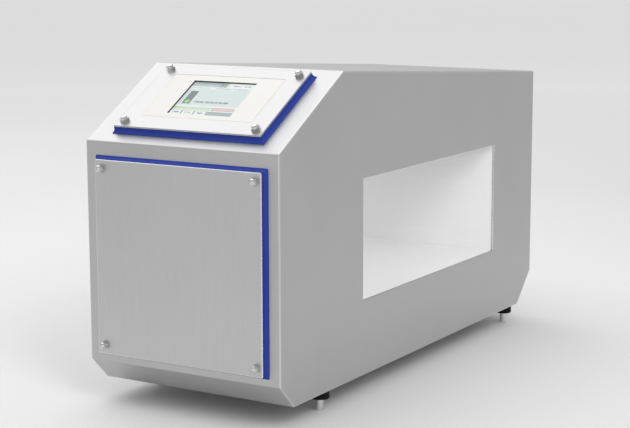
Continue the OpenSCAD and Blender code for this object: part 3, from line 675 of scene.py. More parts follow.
def slab(bm, w, l, z0, z1, r, bevel, steps, matrix=HERE):
    """Plate with round corners and rounded upper and lower edges."""
    levels = [(bevel, z0)]
    levels += [(bevel * (1 - sin(radians(a))), z0 + bevel * (1 - cos(radians(a)))) for a in (30, 60, 90)]
    levels += [(bevel * (1 - cos(radians(a))), z1 - bevel * (1 - sin(radians(a)))) for a in (0, 30, 60, 90)]
    loft(bm, [[(x, y, z) for x, y in rounded_rectangle(
        w - 2 * inset, l - 2 * inset, max(r - inset, bevel / 2), steps)] for inset, z in levels], matrix)


def block(bm, low, high, bevel, matrix=HERE):
    """Box with rounded upright edges and softened ends."""
    low, high = Vector(low), Vector(high)
    middle, size = (low + high) / 2, high - low
    place = matrix @ Matrix.Translation((middle.x, middle.y, 0))
    bevel = min(bevel, min(size) * 0.45)
    slab(bm, size.x, size.y, low.z, high.z, bevel, bevel * 0.8, 2, place)


def hexagon(bm, flats, z0, z1, chamfer, matrix, bore=0.0):
    """Hexagon whose corners are turned down at both ends, solid or round a bore."""
    corner = flats / sqrt(3)
    levels = [(corner - chamfer, z0), (corner, z0 + chamfer * 0.6), (corner, z1 - chamfer * 0.6),
              (corner - chamfer, z1)]
    if bore:
        levels += [(bore, z1), (bore, z0)]
    lathe(bm, levels, 6, matrix, "joined" if bore else "both")


def cut_box(bm, low, high, matrix):
    (x0, y0, z0), (x1, y1, z1) = low, high
    plan = ((x0, y0), (x1, y0), (x1, y1), (x0, y1))
    loft(bm, [[(x, y, z) for x, y in plan] for z in (z0, z1)], matrix)


def paint(bm, index, start):
    """Gives every face from a count on a material index."""
    bm.faces.ensure_lookup_table()
    for face in bm.faces[start:]:
        face.material_index = index


def painted(bm, index, make, *values, **settings):
    """Makes a form in a mesh and gives its faces a material index."""
    start = len(bm.faces)
    make(bm, *values, **settings)
    paint(bm, index, start)


def tube(bm, points, radius, sides=14):
    """Round cable along a path of points."""
    rings = []
    side = Vector((1, 0, 0))
    for i, p in enumerate(points):
        way = (points[min(i + 1, len(points) - 1)] - points[max(i - 1, 0)]).normalized()
        if abs(way.dot(side)) > 0.9:
            side = Vector((0, 1, 0))
        side = (side - way * way.dot(side)).normalized()
        up = way.cross(side)
        rings.append([p + radius * (cos(2 * pi * k / sides) * side + sin(2 * pi * k / sides) * up)
                      for k in range(sides)])
    loft(bm, rings)


def rounded_path(points, radius, steps=8):
    """Path of points with its inner corners rounded."""
    out = [points[0]]
    for a, b, c in zip(points, points[1:], points[2:]):
        u, v = (a - b).normalized(), (c - b).normalized()
        half = acos(max(-1.0, min(1.0, u.dot(v)))) / 2
        reach = min(radius / tan(half), (a - b).length * 0.49, (c - b).length * 0.49)
        start, end = b + u * reach, b + v * reach
        for k in range(steps + 1):
            t = k / steps
            out.append((1 - t) ** 2 * start + 2 * t * (1 - t) * b + t ** 2 * end)
    out.append(points[-1])
    return out


# Geometry trees

class Tree(Graph):
    """A geometry tree with named inputs, which ends in real geometry of its input material."""

    def __init__(self, name, **inputs):
        super().__init__(bpy.data.node_groups.new(name, "GeometryNodeTree"))
        face = self.tree.interface
        face.new_socket("Geometry", in_out="INPUT", socket_type="NodeSocketGeometry")
        for kind, labels in (*inputs.items(), ("Material", ["Material"])):
            for label in labels:
                face.new_socket(label, in_out="INPUT", socket_type="NodeSocket" + kind)
        face.new_socket("Geometry", in_out="OUTPUT", socket_type="NodeSocketGeometry")
        self.source = self.tree.nodes.new("NodeGroupInput")
        self.end = self.tree.nodes.new("NodeGroupOutput")

    def __getitem__(self, label):
        return Wire(self, self.source.outputs[label])

    def vector(self, **axes):
        return self.node("ShaderNodeCombineXYZ", axes)

    def moved(self, geometry, **axes):
        return self.node("GeometryNodeTransform", {"Geometry": geometry, "Translation": self.vector(**axes)})

    def mesh(self, kind, inputs, **settings):
        return self.node("GeometryNodeMesh" + kind, inputs, "Mesh", **settings)

    def row(self, count, **step):
        return self.mesh("Line", {"Count": count, "Offset": self.vector(**step)}, mode="OFFSET")

    def join(self, operation, *meshes):
        return self.mesh("Boolean", {"Mesh": list(meshes)}, operation=operation, solver="EXACT")

    def copies(self, points, instance, **more):
        return self.node("GeometryNodeInstanceOnPoints", {"Points": points, "Instance": instance, **more})

    def real(self, geometry):
        return self.node("GeometryNodeRealizeInstances", {"Geometry": geometry})

    def close(self, geometry):
        done = self.node("GeometryNodeSetMaterial", {
            "Geometry": self.real(geometry), "Material": self["Material"]})
        self.tree.links.new(done.socket, self.end.inputs[0])
        return self.tree


def grow(tree, mesh, **values):
    """Plain result of a geometry tree on a mesh; an input's name has an underscore for each space."""
    obj = linked("seed", mesh)
    modifier = obj.modifiers.new("grow", "NODES")
    modifier.node_group = tree
    for item in tree.interface.items_tree:
        key = item.name.replace(" ", "_")
        if item.item_type == "SOCKET" and item.in_out == "INPUT" and key in values:
            modifier[item.identifier] = values[key]
    return plain_mesh(obj)


def without_slivers(mesh):
    bm = bmesh.new()
    bm.from_mesh(mesh)
    bmesh.ops.remove_doubles(bm, verts=bm.verts, dist=0.000002)
    bmesh.ops.dissolve_degenerate(bm, edges=bm.edges, dist=0.000002)
    bm.to_mesh(mesh)
    bm.free()
    return mesh


def point_mesh(points):
    mesh = bpy.data.meshes.new("points")
    mesh.from_pydata([tuple(p) for p in points], [], [])
    return mesh


def cap_screw_tree():
    """Hexagon with turned-down corners, dome and shank on every point."""
    t = Tree("cap_screw_tree", Int=("Seed",),
             Float=("Flats", "Hexagon", "Dome", "Shank radius", "Shank length"))
    flats, height, length = t["Flats"], t["Hexagon"], t["Shank length"]
    prism = t.mesh("Cylinder", {"Vertices": 6, "Radius": flats * (1 / sqrt(3)), "Depth": height})
    cone = t.mesh("Cone", {"Vertices": 60, "Radius Top": flats * 0.49,
                           "Radius Bottom": flats * 0.49 + height * 1.7, "Depth": height})
    head = t.moved(t.join("INTERSECT", prism, t.moved(cone, Z=height * -0.5)), Z=height * 0.5)
    ball = t.node("GeometryNodeTransform", {
        "Geometry": t.mesh("UVSphere", {"Segments": 40, "Rings": 24, "Radius": 1.0}),
        "Translation": t.vector(Z=height), "Scale": t.vector(X=flats * 0.46, Y=flats * 0.46, Z=t["Dome"])})
    shank = t.mesh("Cylinder", {"Vertices": 32, "Radius": t["Shank radius"], "Depth": length})
    forms = [head, ball, t.moved(shank, Z=length * -0.5)]
    screw = t.node("GeometryNodeJoinGeometry", {"Geometry": forms})
    turn = t.node("FunctionNodeRandomValue", {"Min": 0.0, "Max": 1.05, "Seed": t["Seed"]}, "Value")
    return t.close(t.copies(t["Geometry"], screw, Rotation=t.vector(Z=turn)))


def stud_tree():
    """A chamfered stud on every point."""
    t = Tree("stud_tree", Float=("Radius", "Length", "Chamfer"))
    radius, length, chamfer = t["Radius"], t["Length"], t["Chamfer"]
    shaft = t.mesh("Cylinder", {"Vertices": 56, "Radius": radius, "Depth": length - chamfer})
    tip = t.mesh("Cone", {"Vertices": 56, "Radius Top": radius, "Radius Bottom": radius - chamfer,
                          "Depth": chamfer})
    stud = t.join("UNION", t.moved(shaft, Z=(length - chamfer) * -0.5), t.moved(tip, Z=length * -1.0))
    return t.close(t.copies(t["Geometry"], stud))


def row_tree():
    """A row of equal pieces along X, each a copy of the incoming mesh."""
    t = Tree("row_tree", Int=("Count",), Float=("Pitch",))
    return t.close(t.copies(t.row(t["Count"], X=t["Pitch"]), t["Geometry"]))


def winding_tree():
    """Layers of round wire wound along the incoming outline."""
    t = Tree("winding_tree", Float=("Wire radius", "Layer pitch"), Int=("Across", "Layers"))
    wire = t["Wire radius"]
    outline = t.node("GeometryNodeMeshToCurve", {"Mesh": t["Geometry"]})
    section = t.node("GeometryNodeCurvePrimitiveCircle", {"Resolution": 8, "Radius": wire * 0.985}, "Curve")
    layer = t.copies(t.row(t["Across"], Y=wire * 2.0), section)
    bundle = t.real(t.copies(t.row(t["Layers"], X=t["Layer pitch"]), layer))
    level = t.node("GeometryNodeSetCurveNormal", {"Curve": outline}, mode="Z_UP")
    return t.close(t.node("GeometryNodeCurveToMesh", {"Curve": level, "Profile Curve": bundle}))


# Housing

def outline_inset(distance, radius, steps):
    """Housing outline drawn in by a distance, with round corners of the given outer radius."""
    n = len(OUTLINE)
    points = [Vector(p) for p in OUTLINE]
    ways = [(points[(i + 1) % n] - points[i]).normalized() for i in range(n)]
    inward = [Vector((w.y, -w.x)) for w in ways]
    r = max(radius - distance, 0.0006)
    out = []
    for i in range(n):
        a, b = inward[i - 1], inward[i]
        corner = points[i] + distance * (a + b) / (1 + a.dot(b))
        u, v = -ways[i - 1], ways[i]
        half = acos(max(-1.0, min(1.0, u.dot(v)))) / 2
        middle = corner + (u + v).normalized() * r / sin(half)
        start, end = corner + u * r / tan(half) - middle, corner + v * r / tan(half) - middle
        turn = pi - 2 * half
        for k in range(steps + 1):
            t = k / steps
            out.append(middle + (sin((1 - t) * turn) * start + sin(t * turn) * end) / sin(turn))
    return out


def housing_ring(x, inset):
    return [(x, p.x + FRONT_Y, p.y + STAND_H) for p in outline_inset(inset, FOLD_R, 5)]


class DETECTOR_OT_housing(bpy.types.Operator):
    """Folded and welded housing with ground edges, openings and inner wall; its pale edges are partly painted
    highlight, the passage cut's lower edge painted shade
    """
    bl_idname = "detector.housing"
    bl_label = "Housing"

    HATCH = (0.125, 0.126)
    PORT = (0.0774, 0.063)
    HOLE_R = {"screw": 0.0044, "entry": 0.0103, "earth": 0.0034, "foot": 0.0055}
    DEPTH = 0.010
    # How near a face lies to the passage's edge, and between which slants it counts as an edge
    NEAR = 0.0006
    SLANT = (0.12, 0.985)

    def dressed(self, face):
        """Number of a face's finish: 1 on the ground outer edges and 2 on the passage's cut, both paler
        partly as painted highlight, 3 on the cut's lower edge as painted shade, else 0.
        """
        x, y, z = face.center
        if abs(x) < HALF_W - SHEET_T - 0.0004:
            return 0
        y0, y1, z0, z1 = PASSAGE
        y, z = y - FRONT_Y, z - STAND_H
        slant = abs(face.normal.x)
        if min(abs(y - y0), abs(y - y1), abs(z - z0), abs(z - z1)) < self.NEAR and slant < self.SLANT[1]:
            # Painted light: the cut's lower edge takes painted shade, the rest of the cut a paler tone partly
            # as painted highlight
            return 3 if abs(z - z0) < self.NEAR else 2
        return int(self.SLANT[0] < slant < self.SLANT[1])

    def openings(self):
        """Solids of the passage, the hatch, the port behind the console and every hole."""
        bm = bmesh.new()
        y0, y1, z0, z1 = PASSAGE
        cut_box(bm, (-0.2, y0, z0), (0.2, y1, z1), body_matrix())
        cover, console = front_matrix(COVER_MID), slope_matrix(CONSOLE_MID)
        for (x, y), place in ((self.HATCH, cover), (self.PORT, screen_matrix())):
            cut_box(bm, (-x, -y, -self.DEPTH), (x, y, self.DEPTH), place)
        holes = [("screw", 24, place @ Matrix.Translation((x, y, 0)))
                 for place, spots in ((cover, COVER_SCREWS), (console, CONSOLE_SCREWS))
                 for x, y in corners(*spots)]
        holes += [("entry", 32, body_matrix(x, ENTRY_Y)) for x in (*GLAND_X, PLUG_X)]
        holes += [("earth", 16, body_matrix(EARTH_X, ENTRY_Y))]
        holes += [("foot", 24, body_matrix(*spot)) for spot in FOOT_SPOTS]
        for kind, steps, place in holes:
            lathe(bm, [(self.HOLE_R[kind], z) for z in (-self.DEPTH, self.DEPTH)], steps, place)
        return bm

    def execute(self, context):
        edge = sizes().edge_round
        levels = [(HALF_W - edge * (1 - sin(radians(a))), edge * (1 - cos(radians(a))))
                  for a in (0, 22.5, 45, 67.5, 90)]
        outer, inner = bmesh.new(), bmesh.new()
        levels = [(-x, inset) for x, inset in reversed(levels)] + levels
        loft(outer, [housing_ring(x, inset) for x, inset in levels])
        loft(inner, [housing_ring(x, SHEET_T) for x in (-HALF_W + SHEET_T, HALF_W - SHEET_T)])
        mesh = carved(new_mesh(outer), (inner, self.openings()), (
            "BEVEL", {"width": 0.0005, "segments": 2, "limit_method": "ANGLE", "angle_limit": radians(50),
                      "harden_normals": False}))
        mesh.materials.clear()
        # Painted light on the edges: paler seams and passage cut partly as highlight, the dark lower cut edge
        # as shade
        for name in ("satin_steel", "ground_seam", "ground_edge", "sheet_rim"):
            mesh.materials.append(finish(name))
        mesh.polygons.foreach_set("material_index", [self.dressed(f) for f in mesh.polygons])
        hand_over("housing_shell", mesh, "housing", "satin_steel", "front_wrap", "roof_wrap", "base_wrap",
                  "side_panel_left", "side_panel_right", smooth=50)
        return {"FINISHED"}


# Cover and console

def gasket_mesh(size, height, flare, matrix, low=1.0):
    """Seal whose foot flares out in a hollow curve, with an upright lip and an open middle.

    The lower side may flare less than the others."""
    w, l = size
    lip = sizes().seal_lip
    profile = [(flare - 0.00035, 0.00001), (flare, 0.00036), (flare, lip - 0.0003), (flare - 0.0003, lip)]
    profile += [(flare * (1 - sin(radians(a))), lip + (height - lip) * (1 - cos(radians(a))))
                for a in range(9, 91, 9)]
    profile += [(-0.0215, height), (-0.022, height - 0.0005), (-0.022, 0.0005), (-0.0215, 0.00001)]
    rings = []
    for out, z in profile:
        lift = max(out, 0.0) * (1 - low) / 2
        rings.append([(x, y + lift, z) for x, y in rounded_rectangle(
            w + 2 * out, l + 2 * out - 2 * lift, max(0.0004, 0.0012 + out * 0.1), 3)])
    bm = bmesh.new()
    loft(bm, rings, ends="joined")
    return new_mesh(bm, ("blue_seal",), matrix)


def plate_mesh(size, z0, z1, matrix, finishes, edge, opening=None, at=None):
    """Flat plate with finishes on its faces, its upper rim and its sides, and maybe an opening at a place."""
    bm = bmesh.new()
    slab(bm, *size, z0, z1, PLATE_CORNER_R, edge, 6)
    bm.normal_update()
    for face in bm.faces:
        face.material_index = 0 if abs(face.normal.z) > 0.97 else 1 if face.normal.z > 0.15 else 2
    mesh = new_mesh(bm, finishes, matrix)
    if opening:
        x, y = opening[0] / 2, opening[1] / 2
        cuts = bmesh.new()
        cut_box(cuts, (-x, -y, z0 - 0.01), (x, y, z1 + 0.01), at)
        mesh = carved(mesh, (cuts,))
    return mesh


class DETECTOR_OT_cover(bpy.types.Operator):
    """Service cover plate and its blue seal"""
    bl_idname = "detector.cover"
    bl_label = "Service cover"

    def execute(self, context):
        place = front_matrix(COVER_MID)
        # The cover plate's rim and sides take the paler ground edge finish, partly a painted highlight
        plate = plate_mesh(COVER_SIZE, *COVER_Z, place, ("brushed_cover", "ground_edge", "ground_edge"),
                           sizes().plate_edge)
        hand_over("service_cover_plate", plate, "service_cover", "brushed_plate", "cover_plate")
        hand_over("service_cover_seal", gasket_mesh(COVER_SIZE, COVER_Z[0], 0.0055, place, 0.6),
                  "service_cover", "blue_seal", "cover_gasket")
        return {"FINISHED"}


class DETECTOR_OT_console(bpy.types.Operator):
    """Console plate and its thick blue seal"""
    bl_idname = "detector.console"
    bl_label = "Console"

    def execute(self, context):
        place = slope_matrix(CONSOLE_MID)
        # Painted light on the console plate: a darkened steel copy and a dark rim as painted shade, pale
        # sides as painted highlight
        plate = plate_mesh(CONSOLE_SIZE, *CONSOLE_Z, place, ("brushed_console", "sheet_rim", "sheet_side"),
                           0.0011, CONSOLE_OPENING, screen_matrix())
        hand_over("console_plate_sheet", plate, "console", "brushed_plate", "console_plate")
        hand_over("console_seal", gasket_mesh(CONSOLE_SIZE, CONSOLE_Z[0], 0.004, place),
                  "console", "blue_seal", "console_gasket")
        return {"FINISHED"}


class DETECTOR_OT_cap_screws(bpy.types.Operator):
    """Cap screws of cover and console, placed by a geometry tree"""
    bl_idname = "detector.cap_screws"
    bl_label = "Cap screws"

    def execute(self, context):
        tree = cap_screw_tree()
        for name, body, node, matrix, spots, seat, seed in (
                ("service_cover_screws", "service_cover", "cover_screws", front_matrix(COVER_MID),
                 COVER_SCREWS, COVER_Z[1], 5),
                ("console_screw_set", "console", "console_screws", slope_matrix(CONSOLE_MID),
                 CONSOLE_SCREWS, CONSOLE_Z[1], 11)):
            mesh = grow(tree, point_mesh((x, y, seat) for x, y in corners(*spots)), Flats=sizes().screw_flats,
                        Hexagon=sizes().screw_head, Dome=sizes().screw_dome, Shank_radius=0.004,
                        Shank_length=seat + 0.019, Seed=seed, Material=finish("polished_steel"))
            mesh = without_slivers(mesh)
            mesh.transform(matrix)
            hand_over(name, mesh, body, "polished_steel", node, smooth=28.0)
        return {"FINISHED"}


class DETECTOR_OT_display(bpy.types.Operator):
    """Front foil with its window, and the touch pane with a dark rim behind it"""
    bl_idname = "detector.display"
    bl_label = "Display"

    def execute(self, context):
        place = screen_matrix()
        x, y = PANE_SIZE[0] / 2, PANE_SIZE[1] / 2
        u, v = WINDOW[0] / 2, WINDOW[1] / 2
        play = 0.00002
        bm = bmesh.new()
        for x0, x1, y0, y1 in ((-x, x, v, y), (-x, x, -y, -v), (-x, -u, play - v, v - play),
                               (u, x, play - v, v - play)):
            block(bm, (x0, y0, PANE_Z[0]), (x1, y1, PANE_Z[1]), 0.0002)
        painted(bm, 1, block, (-u, -v, 0.0102), (u, v, 0.0108), 0.0001)
        hand_over("touch_pane", new_mesh(bm, ("panel_dark", "screen_glass"), place),
                  "console", "screen_glass", "touch_glass")
        foil = plate_mesh(FOIL_SIZE, *FOIL_Z, slope_matrix(FOIL_MID), ("foil_cream",) * 3, 0.00005,
                          WINDOW, place)
        hand_over("front_foil_sheet", foil, "console", "foil_cream", "front_foil")
        return {"FINISHED"}


# Feet and entries

class DETECTOR_OT_feet(bpy.types.Operator):
    """Rubber buffers and studs under the base"""
    bl_idname = "detector.feet"
    bl_label = "Feet"

    STEPS = 64
    R = 0.016
    WASHER = [(0.0060, -0.0002), (0.0060, -0.0158), (0.0117, -0.0158)]

    def execute(self, context):
        r, steps = self.R, self.STEPS
        profile = [(0.0124, -0.016), (r - 0.002, -0.016), (r - 0.0010, -0.01565), (r - 0.0003, -0.0148)]
        profile += [(r, -0.0136)]
        profile += [(r - 0.0004 * sin(pi * k / 8), -0.0136 + 0.0126 * k / 8) for k in range(1, 8)]
        profile += [(r, -0.0010), (r - 0.0004, -0.0003), (r - 0.0010, 0.0), (0.0124, 0.0)]
        bm = bmesh.new()
        for spot in FOOT_SPOTS:
            start = len(bm.faces) + steps * (len(profile) - 1)
            hoop(bm, profile + self.WASHER, steps, body_matrix(*spot))
            paint(bm, 1, start)
        hand_over("rubber_buffers", new_mesh(bm, ("black_rubber", "zinc_steel")),
                  "housing", "black_rubber", "foot_buffers", smooth=40.0)
        points = point_mesh(body_matrix(*spot, -0.0159).translation for spot in FOOT_SPOTS)
        mesh = grow(stud_tree(), points, Radius=0.006, Length=0.0201, Chamfer=sizes().stud_chamfer,
                    Material=finish("stud_steel"))
        hand_over("threaded_studs", mesh, "housing", "polished_steel", "foot_studs", smooth=40.0)
        return {"FINISHED"}


class DETECTOR_OT_entries(bpy.types.Operator):
    """Cable glands, blanking plug and earth stud under the compartment"""
    bl_idname = "detector.entries"
    bl_label = "Entries"

    FLATS = 0.024
    SEAL_RING = [(0.0100, -0.0015), (0.0116, -0.0015), (0.0119, -0.0011), (0.0119, -0.0003), (0.0116, 0.0),
                 (0.0100, 0.0)]
    SEAL_SLEEVE = [(0.0061, -0.0203), (0.0053, -0.0209), (0.0046, -0.0204), (0.0046, -0.0040),
                   (0.0061, -0.0040)]

    def hand_in(self, name, bm, node):
        mesh = new_mesh(bm, ("polished_steel", "black_rubber"))
        hand_over(name, mesh, "housing", "polished_steel", node, smooth=35.0)

    def glands(self):
        dome = [(0.0100, 0.0115), (0.0100, -0.0080), (0.0106, -0.0160), (0.0106, -0.0168)]
        dome += [(0.0066 + 0.0040 * cos(radians(a)), -0.0172 - 0.0043 * sin(radians(a)))
                 for a in range(0, 91, 15)]
        dome += [(0.0062, -0.0212), (0.0060, -0.0185), (0.0062, 0.0115), (0.0098, 0.0119)]
        bm = bmesh.new()
        spots = [body_matrix(x, ENTRY_Y) for x in GLAND_X]
        for spot in spots:
            hexagon(bm, self.FLATS, -0.0075, -0.0015, 0.0008, spot, 0.0090)
            hexagon(bm, 0.0225, -0.0165, -0.0079, 0.0007, spot, 0.0090)
            hoop(bm, dome, 48, spot)
        for spot in spots:
            painted(bm, 1, hoop, self.SEAL_SLEEVE, 40, spot)
            painted(bm, 1, hoop, self.SEAL_RING, 48, spot)
        self.hand_in("cable_gland_set", bm, "cable_glands")

    def plug(self):
        bm = bmesh.new()
        spot = body_matrix(PLUG_X, ENTRY_Y)
        hexagon(bm, self.FLATS, -0.0075, -0.0015, 0.0008, spot)
        cap = [(0.0098, -0.0074)]
        cap += [(0.0098 * cos(radians(a)), -0.0076 - 0.0023 * sin(radians(a))) for a in range(0, 90, 12)]
        lathe(bm, cap + [(0.0004, -0.0099)], 48, spot)
        lathe(bm, [(0.0100, -0.0016), (0.0100, 0.0115), (0.0096, 0.0119)], 40, spot)
        painted(bm, 1, hoop, self.SEAL_RING, 48, spot)
        self.hand_in("entry_plug", bm, "blanking_plug")

    def earthing_bolt(self):
        bm = bmesh.new()
        spot = body_matrix(EARTH_X, ENTRY_Y)
        hexagon(bm, 0.010, -0.005, 0.0, 0.0005, spot)
        hexagon(bm, 0.010, 0.003, 0.008, 0.0005, spot)
        thread = []
        for k in range(34):
            z = -0.0195 + k * 0.001
            thread += [(0.00270, z - 0.0005), (0.00298, z)]
        lathe(bm, [(0.0022, -0.0200), *thread, (0.0022, 0.0138)], 28, spot)
        mesh = new_mesh(bm, ("brass",))
        hand_over("earthing_bolt", mesh, "housing", "brass", "earth_stud", smooth=30.0)

    def execute(self, context):
        self.glands()
        self.plug()
        self.earthing_bolt()
        return {"FINISHED"}


# Coils

class DETECTOR_OT_coils(bpy.types.Operator):
    """Sender and receiver windings round the passage"""
    bl_idname = "detector.coils"
    bl_label = "Coils"

    GAP = 0.0123
    WIRE_R = 0.00079
    LAYERS = 6

    def execute(self, context):
        tree = winding_tree()
        y0, y1, z0, z1 = PASSAGE
        reach = self.GAP + self.WIRE_R
        lay = Matrix(((0, 0, 1, 0), (1, 0, 0, 0), (0, 1, 0, 0), (0, 0, 0, 1)))
        for name, node, x, width in (("sender_winding", "sender_coil", COIL_X[1], 0.0254),
                                     ("receiver_winding_left", "receiver_coil_left", COIL_X[0], 0.0154),
                                     ("receiver_winding_right", "receiver_coil_right", COIL_X[2], 0.0154)):
            points = rounded_rectangle(y1 - y0 + 2 * reach, z1 - z0 + 2 * reach, 0.0125 + self.WIRE_R, 5)
            n = len(points)
            outline = bpy.data.meshes.new("outline")
            outline.from_pydata([(*p, 0) for p in points], [(i, (i + 1) % n) for i in range(n)], [])
            mesh = grow(tree, outline, Wire_radius=self.WIRE_R, Across=int(width / (2 * self.WIRE_R)),
                        Layers=self.LAYERS, Layer_pitch=self.WIRE_R * 1.92, Material=finish("copper_winding"))
            heights = [v.co.z for v in mesh.vertices]
            lift = Matrix.Translation((0, 0, -(min(heights) + max(heights)) / 2))
            middle = Vector(((y0 + y1) / 2, (z0 + z1) / 2))
            mesh.transform(body_matrix(x, middle.x, middle.y) @ lay @ lift)
            hand_over(name, mesh, "housing", "copper_winding", node, smooth=60.0)
        return {"FINISHED"}


# Electronics

BOARD_LOW = (-0.130, 0.156)
BOARD_SIZE = (0.260, 0.140)
# Parts on the main board: left and lower edge, width, height and depth, as shares of board and PARTS_H
BOARD_PARTS = [(0.05, 0.08, 0.10, 0.22, 1.00), (0.18, 0.08, 0.07, 0.15, 0.75), (0.28, 0.10, 0.12, 0.20, 0.30),
               (0.05, 0.40, 0.14, 0.24, 0.20), (0.24, 0.42, 0.12, 0.12, 0.16), (0.44, 0.08, 0.16, 0.10, 0.40),
               (0.90, 0.12, 0.06, 0.60, 0.45)]
PARTS_H = 0.028
BACK_Z = -0.0136
# Parts on the back of the display board: finish, left and lower edge, width, height and depth
BACK_PARTS = [(2, -0.042, -0.012, 0.024, 0.024, 0.0022), (2, -0.008, -0.014, 0.018, 0.010, 0.0016),
              (2, -0.008, 0.006, 0.018, 0.010, 0.0016), (2, -0.060, 0.018, 0.012, 0.006, 0.0016),
              (1, -0.050, 0.040, 0.036, 0.007, 0.0042), (4, 0.012, -0.046, 0.022, 0.018, 0.0048),
              (2, 0.042, -0.044, 0.011, 0.011, 0.0058), (2, 0.058, -0.044, 0.007, 0.011, 0.0040),
              (2, 0.030, 0.022, 0.014, 0.008, 0.0018), (1, 0.050, 0.042, 0.014, 0.006, 0.0050)]
LEG_PITCH = 0.0016


class DETECTOR_OT_electronics(bpy.types.Operator):
    """Parts on the boards, terminals on their rail, and the leads inside"""
    bl_idname = "detector.electronics"
    bl_label = "Electronics"

    def board_parts(self):
        w, l = BOARD_SIZE
        bm = bmesh.new()
        names = ["component_black", "relay_blue", "relay_amber", "connector_green", "connector_white",
                 "zinc_steel", "polished_steel"]
        black, blue, amber, green, white, zinc, steel = range(len(names))
        transformer, choke, sink, *chips, relays, terminals = [
            (a * w, b * l, (a + c) * w, (b + d) * l, e * PARTS_H) for a, b, c, d, e in BOARD_PARTS]

        def add(index, low, high, bevel=0.0005):
            painted(bm, index, block, low, high, bevel)

        # Transformer with its bobbin, choke, heat sink with fins
        for (x0, y0, x1, y1, h), index, x, y, low, high, bevel in (
                (transformer, amber, 0.002, 0.0, 0.0, 0.30, 0.0005),
                (transformer, black, 0.0, 0.004, 0.30, 0.86, 0.0015),
                (transformer, amber, 0.003, 0.002, 0.86, 1.0, 0.001),
                (choke, blue, 0.0, 0.0, 0.0, 1.0, 0.001), (sink, zinc, 0.0, 0.0, 0.0, 0.35, 0.0005)):
            add(index, (x0 + x, y0 + y, h * low), (x1 - x, y1 - y, h * high), bevel)
        x0, y0, x1, y1, h = sink
        step = (x1 - x0) / 9
        for k in range(9):
            add(zinc, (x0 + k * step + 0.0006, y0, h * 0.35), (x0 + k * step + 0.0018, y1, h), 0.0002)
        # Chips with their legs
        for x0, y0, x1, y1, h in chips:
            add(black, (x0 + 0.002, y0 + 0.002, 0.0008), (x1 - 0.002, y1 - 0.002, h), 0.0004)
            for k in range(int((x1 - x0 - 0.005) / LEG_PITCH)):
                x = x0 + 0.0035 + k * LEG_PITCH
                add(steel, (x, y0, 0.0), (x + 0.0007, y0 + 0.0024, 0.0012), 0.0001)
                add(steel, (x, y1 - 0.0024, 0.0), (x + 0.0007, y1, 0.0012), 0.0001)
        # Relays, terminal block with its screws
        x0, y0, x1, y1, h = relays
        step = (x1 - x0) / 4
        for k in range(4):
            add(amber, (x0 + k * step + 0.0004, y0, 0.0), (x0 + (k + 1) * step - 0.0004, y1, h), 0.0006)
        x0, y0, x1, y1, h = terminals
        step = (y1 - y0) / 12
        for k in range(12):
            add(green, (x0, y0 + k * step + 0.0001, 0.0), (x1, y0 + (k + 1) * step - 0.0001, h), 0.0004)
            painted(bm, steel, lathe, [(0.0017, h - 0.0004), (0.0017, h + 0.0001), (0.0013, h + 0.0004)], 14,
                    Matrix.Translation((x0 + 0.005, y0 + (k + 0.5) * step, 0.0)))
        # Capacitors and the sockets of the leads
        can = [(0.0056, 0.0), (0.006, 0.0006), (0.006, 0.0022), (0.0056, 0.0028), (0.006, 0.0034),
               (0.006, 0.0192), (0.0056, 0.0199)]
        for x, y in ((0.235, 0.36), (0.40, 0.50), (0.40, 0.70)):
            spot = Matrix.Translation((x * w, y * l, 0.0))
            painted(bm, black, lathe, can, 32, spot, "start")
            painted(bm, steel, lathe, [(0.0056, 0.0199), (0.0052, 0.0197)], 32, spot, "end")
        for x in sorted((*COIL_X, DISPLAY_LEAD_X)):
            left = x - 0.011 - BOARD_LOW[0]
            add(white, (left, l - 0.014, 0.0), (left + 0.022, l, 0.012), 0.0008)
            for k in range(6):
                add(steel, (left + 0.0025 + k * 0.003, l - 0.0148, 0.002),
                    (left + 0.0037 + k * 0.003, l - 0.0138, 0.0032), 0.0001)
        place = body_matrix(BOARD_LOW[0], BOARD_Y, BOARD_LOW[1]) @ Matrix.Rotation(radians(90), 4, "X")
        return new_mesh(bm, names, place)

    def terminal(self):
        """Moulding, screws and wire holes of the first terminal: width 6, height 46, depth 34 mm."""
        place = body_matrix(0.032, CARRIER_Y - 0.0075, 0.078) @ Matrix.Rotation(radians(90), 4, "X")
        moulding, screws, holes = bmesh.new(), bmesh.new(), bmesh.new()
        for low, high, bevel in (((0.0, 0.0, 0.0), (0.006, 0.046, 0.018), 0.0005),
                                 ((0.0, 0.007, 0.018), (0.006, 0.039, 0.030), 0.0006),
                                 ((0.0006, 0.017, 0.030), (0.0054, 0.029, 0.034), 0.0005)):
            block(moulding, low, high, bevel, place)
        for y in (0.0115, 0.0345):
            lathe(screws, [(0.0021, 0.0290), (0.0021, 0.0303), (0.0017, 0.0305)], 16,
                  place @ Matrix.Translation((0.003, y, 0.0)))
        for y in (0.003, 0.043):
            block(holes, (0.0012, y - 0.0016, 0.0175), (0.0048, y + 0.0016, 0.0183), 0.0003, place)
        return {"terminal_grey": moulding, "polished_steel": screws, "component_black": holes}

    def terminal_row(self):
        row, tree, forms = bmesh.new(), row_tree(), self.terminal()
        for index, (name, bm) in enumerate(forms.items()):
            grown = grow(tree, new_mesh(bm), Count=sizes().terminal_count, Pitch=TERMINAL_PITCH,
                         Material=finish(name))
            start = len(row.faces)
            row.from_mesh(grown)
            paint(row, index, start)
        return new_mesh(row, forms)

    def leads(self):
        """Routes of the leads between their fixed points."""
        front = BOARD_Y - 0.006
        bends = ((COIL_FACE_Y, COIL_LEAD_Z), (front, COIL_LEAD_Z), (front, BOARD_TOP))
        yield "coil_lead_set", "coil_leads", [[Vector((x, y, z)) for y, z in bends] for x in COIL_X]
